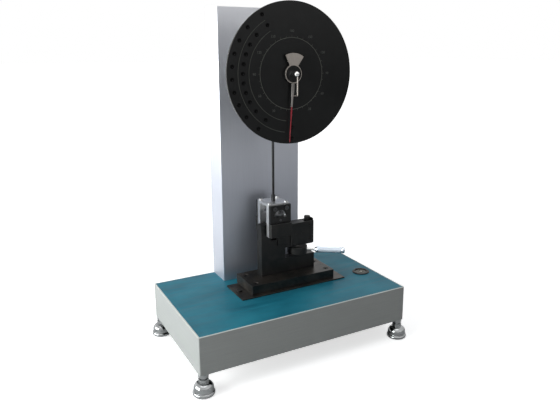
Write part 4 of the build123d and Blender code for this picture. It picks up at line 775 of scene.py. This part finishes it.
def bell_profile(radius, height):
    """Half profile of a bell foot. The rim is a half round, the dome a quarter ellipse."""
    rim = np.linspace(-np.pi / 2, np.pi / 2, RIM_ROWS)
    rim_radius = RIM_SHARE * height
    rim_points = np.stack(
        [radius - rim_radius + rim_radius * np.cos(rim), rim_radius * (1 + np.sin(rim))], axis=-1
    )
    rise = np.linspace(0.0, np.pi / 2, DOME_ROWS)
    neck, shoulder, bore = NECK_SHARE * radius, SHOULDER_SHARE * radius, BORE_SHARE * radius
    dome_height = height * (1 - DOME_SHARE + DOME_SHARE * np.sin(rise))
    dome_points = np.stack([neck + (shoulder - neck) * np.cos(rise), dome_height], axis=-1)
    step_low, step_high = (share * height for share in STEP_HEIGHTS)
    step = np.array([(STEP_SHARE * radius, step_low), (shoulder, step_high)])
    top = np.array([(bore, height), (bore, BORE_HEIGHT * height), (0.0, BORE_HEIGHT * height)])
    return np.concatenate([[(0.0, 0.0)], rim_points, step, dome_points, top])


pad_profile = bell_profile(pad_radius, pad_height)
pad_shape = revolve(pad_profile, PAD_SIDES)
pad_faces = grid_faces(PAD_SIDES, len(pad_profile), wrap_rows=True)
for corner in corners:
    low, high = (np.array(end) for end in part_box(f"foot_pad_{corner}"))
    middle = np.array([(low[0] + high[0]) / 2, (low[1] + high[1]) / 2, 0.0])
    make_piece(
        f"foot_bell_{corner}", pad_shape + middle, pad_faces, foot_chrome, f"foot_{corner}",
        "foot_chrome", [f"foot_pad_{corner}"],
    )

# %% [markdown]
# ## The handgrip
# The clamp lever's grip is turned aluminium with fine flutes along it and a turned groove near
# its end. The radius is a function of both parameters: the distance along the grip gives the
# taper at the ends, and the angle round it adds the flutes.

# %% Turn the handgrip
hub_low, hub_high = (np.array(corner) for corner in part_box("cam_hub"))
hub_middle = (hub_low + hub_high) / 2
GRIP_TURN = math.radians(-35.0)
GRIP_KEYS = np.array(
    [0.0440, 0.0446, 0.0495, 0.0505, 0.1095, 0.1100, 0.1112, 0.1117, 0.1170, 0.1190]
)
GRIP_RADII = np.array(
    [0.0050, 0.0055, 0.0072, 0.0075, 0.0075, 0.0066, 0.0066, 0.0075, 0.0074, 0.0055]
)
GRIP_ROWS = 90
FLUTES, FLUTE_SIDES, FLUTE_DEPTH = 24, 6, 0.00044
FLUTES_START, FLUTES_END, FLUTE_RUN = 0.0515, 0.1085, 0.002
grip_rows = np.linspace(GRIP_KEYS[0], GRIP_KEYS[-1], GRIP_ROWS)
along = np.concatenate([grip_rows[:1], grip_rows, grip_rows[-1:]])
grip_radius = np.interp(along, GRIP_KEYS, GRIP_RADII)
fluted = np.clip((along - FLUTES_START) / FLUTE_RUN, 0, 1)
fluted = fluted * np.clip((FLUTES_END - along) / FLUTE_RUN, 0, 1)
turn = np.linspace(0.0, 2 * np.pi, FLUTES * FLUTE_SIDES, endpoint=False)
flute = FLUTE_DEPTH / 2 * (np.cos(FLUTES * turn) - 1)
radius = grip_radius[:, None] + fluted[:, None] * flute[None, :]
radius[[0, -1]] = 0.0
forward = np.array([math.cos(GRIP_TURN), math.sin(GRIP_TURN), 0.0])
sideways = np.array([-math.sin(GRIP_TURN), math.cos(GRIP_TURN), 0.0])
upward = np.array([0.0, 0.0, 1.0])
grip_points = (
    hub_middle
    + along[:, None, None] * forward
    + (radius * np.cos(turn))[..., None] * sideways
    + (radius * np.sin(turn))[..., None] * upward
)
grip_finish = bright_metal(
    "grip_aluminium", (0.54, 0.60, 0.67), (0.66, 0.72, 0.78), (500.0, 500.0, 500.0), (0.26, 0.40)
)
make_piece(
    "fluted_grip", grip_points, grid_faces(len(along), len(turn), wrap_columns=True),
    grip_finish, "clamp_lever", "grip_aluminium", ["lever_grip"],
)

# %% [markdown]
# ## The bubble level
# The round level has a black rim, a green-brown liquid, a bubble and a target ring. Its clear
# glass isn't drawn, because from any distance the level shows only the liquid under it, which
# is opaque here. All three pieces are turned profiles that stand at the level's middle.

# %% Build the level
LIQUID_FLOOR, LIQUID_TOP = -0.004, -0.0012
BUBBLE_RADIUS, BUBBLE_RISE, BUBBLE_SHIFT = 0.0034, 0.0009, 0.0008
TARGET_INNER, TARGET_OUTER, TARGET_RISE = 0.0052, 0.0058, 0.0002
LEVEL_SIDES, BUBBLE_SIDES, BUBBLE_ROWS = 48, 32, 8

glass_low, glass_high = (np.array(corner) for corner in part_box("level_glass"))
level_middle = (glass_low + glass_high) / 2
level_radius = (glass_high[0] - glass_low[0]) / 2
level_top = glass_high[2]

level_liquid, tree, shader = new_finish("level_liquid", roughness=0.2, specular=0.2)
liquid_clouds = noise(tree, (60.0, 60.0, 60.0), detail=3.0)
liquid_tint = between(tree, liquid_clouds, (0.030, 0.034, 0.026), (0.060, 0.062, 0.042))
tree.links.new(liquid_tint, shader.inputs["Base Color"])
bubble_finish, tree, shader = new_finish("level_bubble", roughness=0.05, coat=1.0)
bubble_noise = noise(tree, (200.0, 200.0, 200.0))
bubble_tint = between(tree, bubble_noise, (0.20, 0.20, 0.13), (0.30, 0.29, 0.20))
tree.links.new(bubble_tint, shader.inputs["Base Color"])


def level_piece(name, profile, sides, rise, shift, material, slot, stands_for=()):
    """A profile turned round the level's axis, raised from its top and shifted along X."""
    centre = [level_middle[0] + shift, level_middle[1], level_top + rise]
    faces = grid_faces(sides, len(profile), wrap_rows=True)
    make_piece(name, revolve(profile, sides) + centre, faces, material, "frame", slot, stands_for)


liquid_profile = [
    (0.0, LIQUID_FLOOR), (level_radius, LIQUID_FLOOR), (level_radius, LIQUID_TOP), (0.0, LIQUID_TOP),
]
rise = np.linspace(0.0, np.pi / 2, BUBBLE_ROWS)
dome = np.stack([BUBBLE_RADIUS * np.cos(rise), BUBBLE_RISE * np.sin(rise)], axis=-1)
bubble_profile = np.concatenate([[(0.0, 0.0)], dome])
target_profile = [
    (TARGET_INNER, 0.0), (TARGET_OUTER, 0.0), (TARGET_OUTER, TARGET_RISE),
    (TARGET_INNER, TARGET_RISE), (TARGET_INNER, 0.0),
]
level_piece(
    "level_liquid", liquid_profile, LEVEL_SIDES, 0.0, 0.0, level_liquid, "level_glass",
    ["level_glass"],
)
level_piece(
    "level_bubble", bubble_profile, BUBBLE_SIDES, LIQUID_TOP, BUBBLE_SHIFT, bubble_finish,
    "level_glass",
)
level_piece(
    "level_target", target_profile, LEVEL_SIDES, LIQUID_TOP, 0.0, vise_black, "black_metal"
)

# %% [markdown]
# ## Soft edges
# Machined pieces have broken edges that catch light. A Weld modifier joins the triangles of
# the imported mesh, and a Bevel modifier after it rounds only the sharp edges, by less than a
# millimetre, so that no size changes.

# %% Break the edges
EDGE_ANGLE = 40.0
EDGE_WIDTHS = {
    "base_frame": 0.0008, "column_cover": 0.0009, "vise_body": 0.0005, "vise_bed_plate": 0.0006,
    "vise_sole_plate": 0.0004, "jaw_cover": 0.0003, "jaw_end_plate": 0.0003, "moving_jaw": 0.0003,
    "hammer_top": 0.0004, "hammer_leg_front": 0.0004, "hammer_leg_rear": 0.0004,
    "hammer_plates": 0.0004, "dial_plate": 0.0002, "dial_bracket": 0.0005, "pointer_ring": 0.0002,
    "latch_hook": 0.0003,
}
for name, width in EDGE_WIDTHS.items():
    weld = nodes[name].modifiers.new("weld", "WELD")
    weld.merge_threshold = 1e-6
    bevel = nodes[name].modifiers.new("edges", "BEVEL")
    bevel.width = width
    bevel.segments = 2
    bevel.limit_method = "ANGLE"
    bevel.angle_limit = math.radians(EDGE_ANGLE)
    bevel.harden_normals = True
print("broken edges on", len(EDGE_WIDTHS), "nodes")
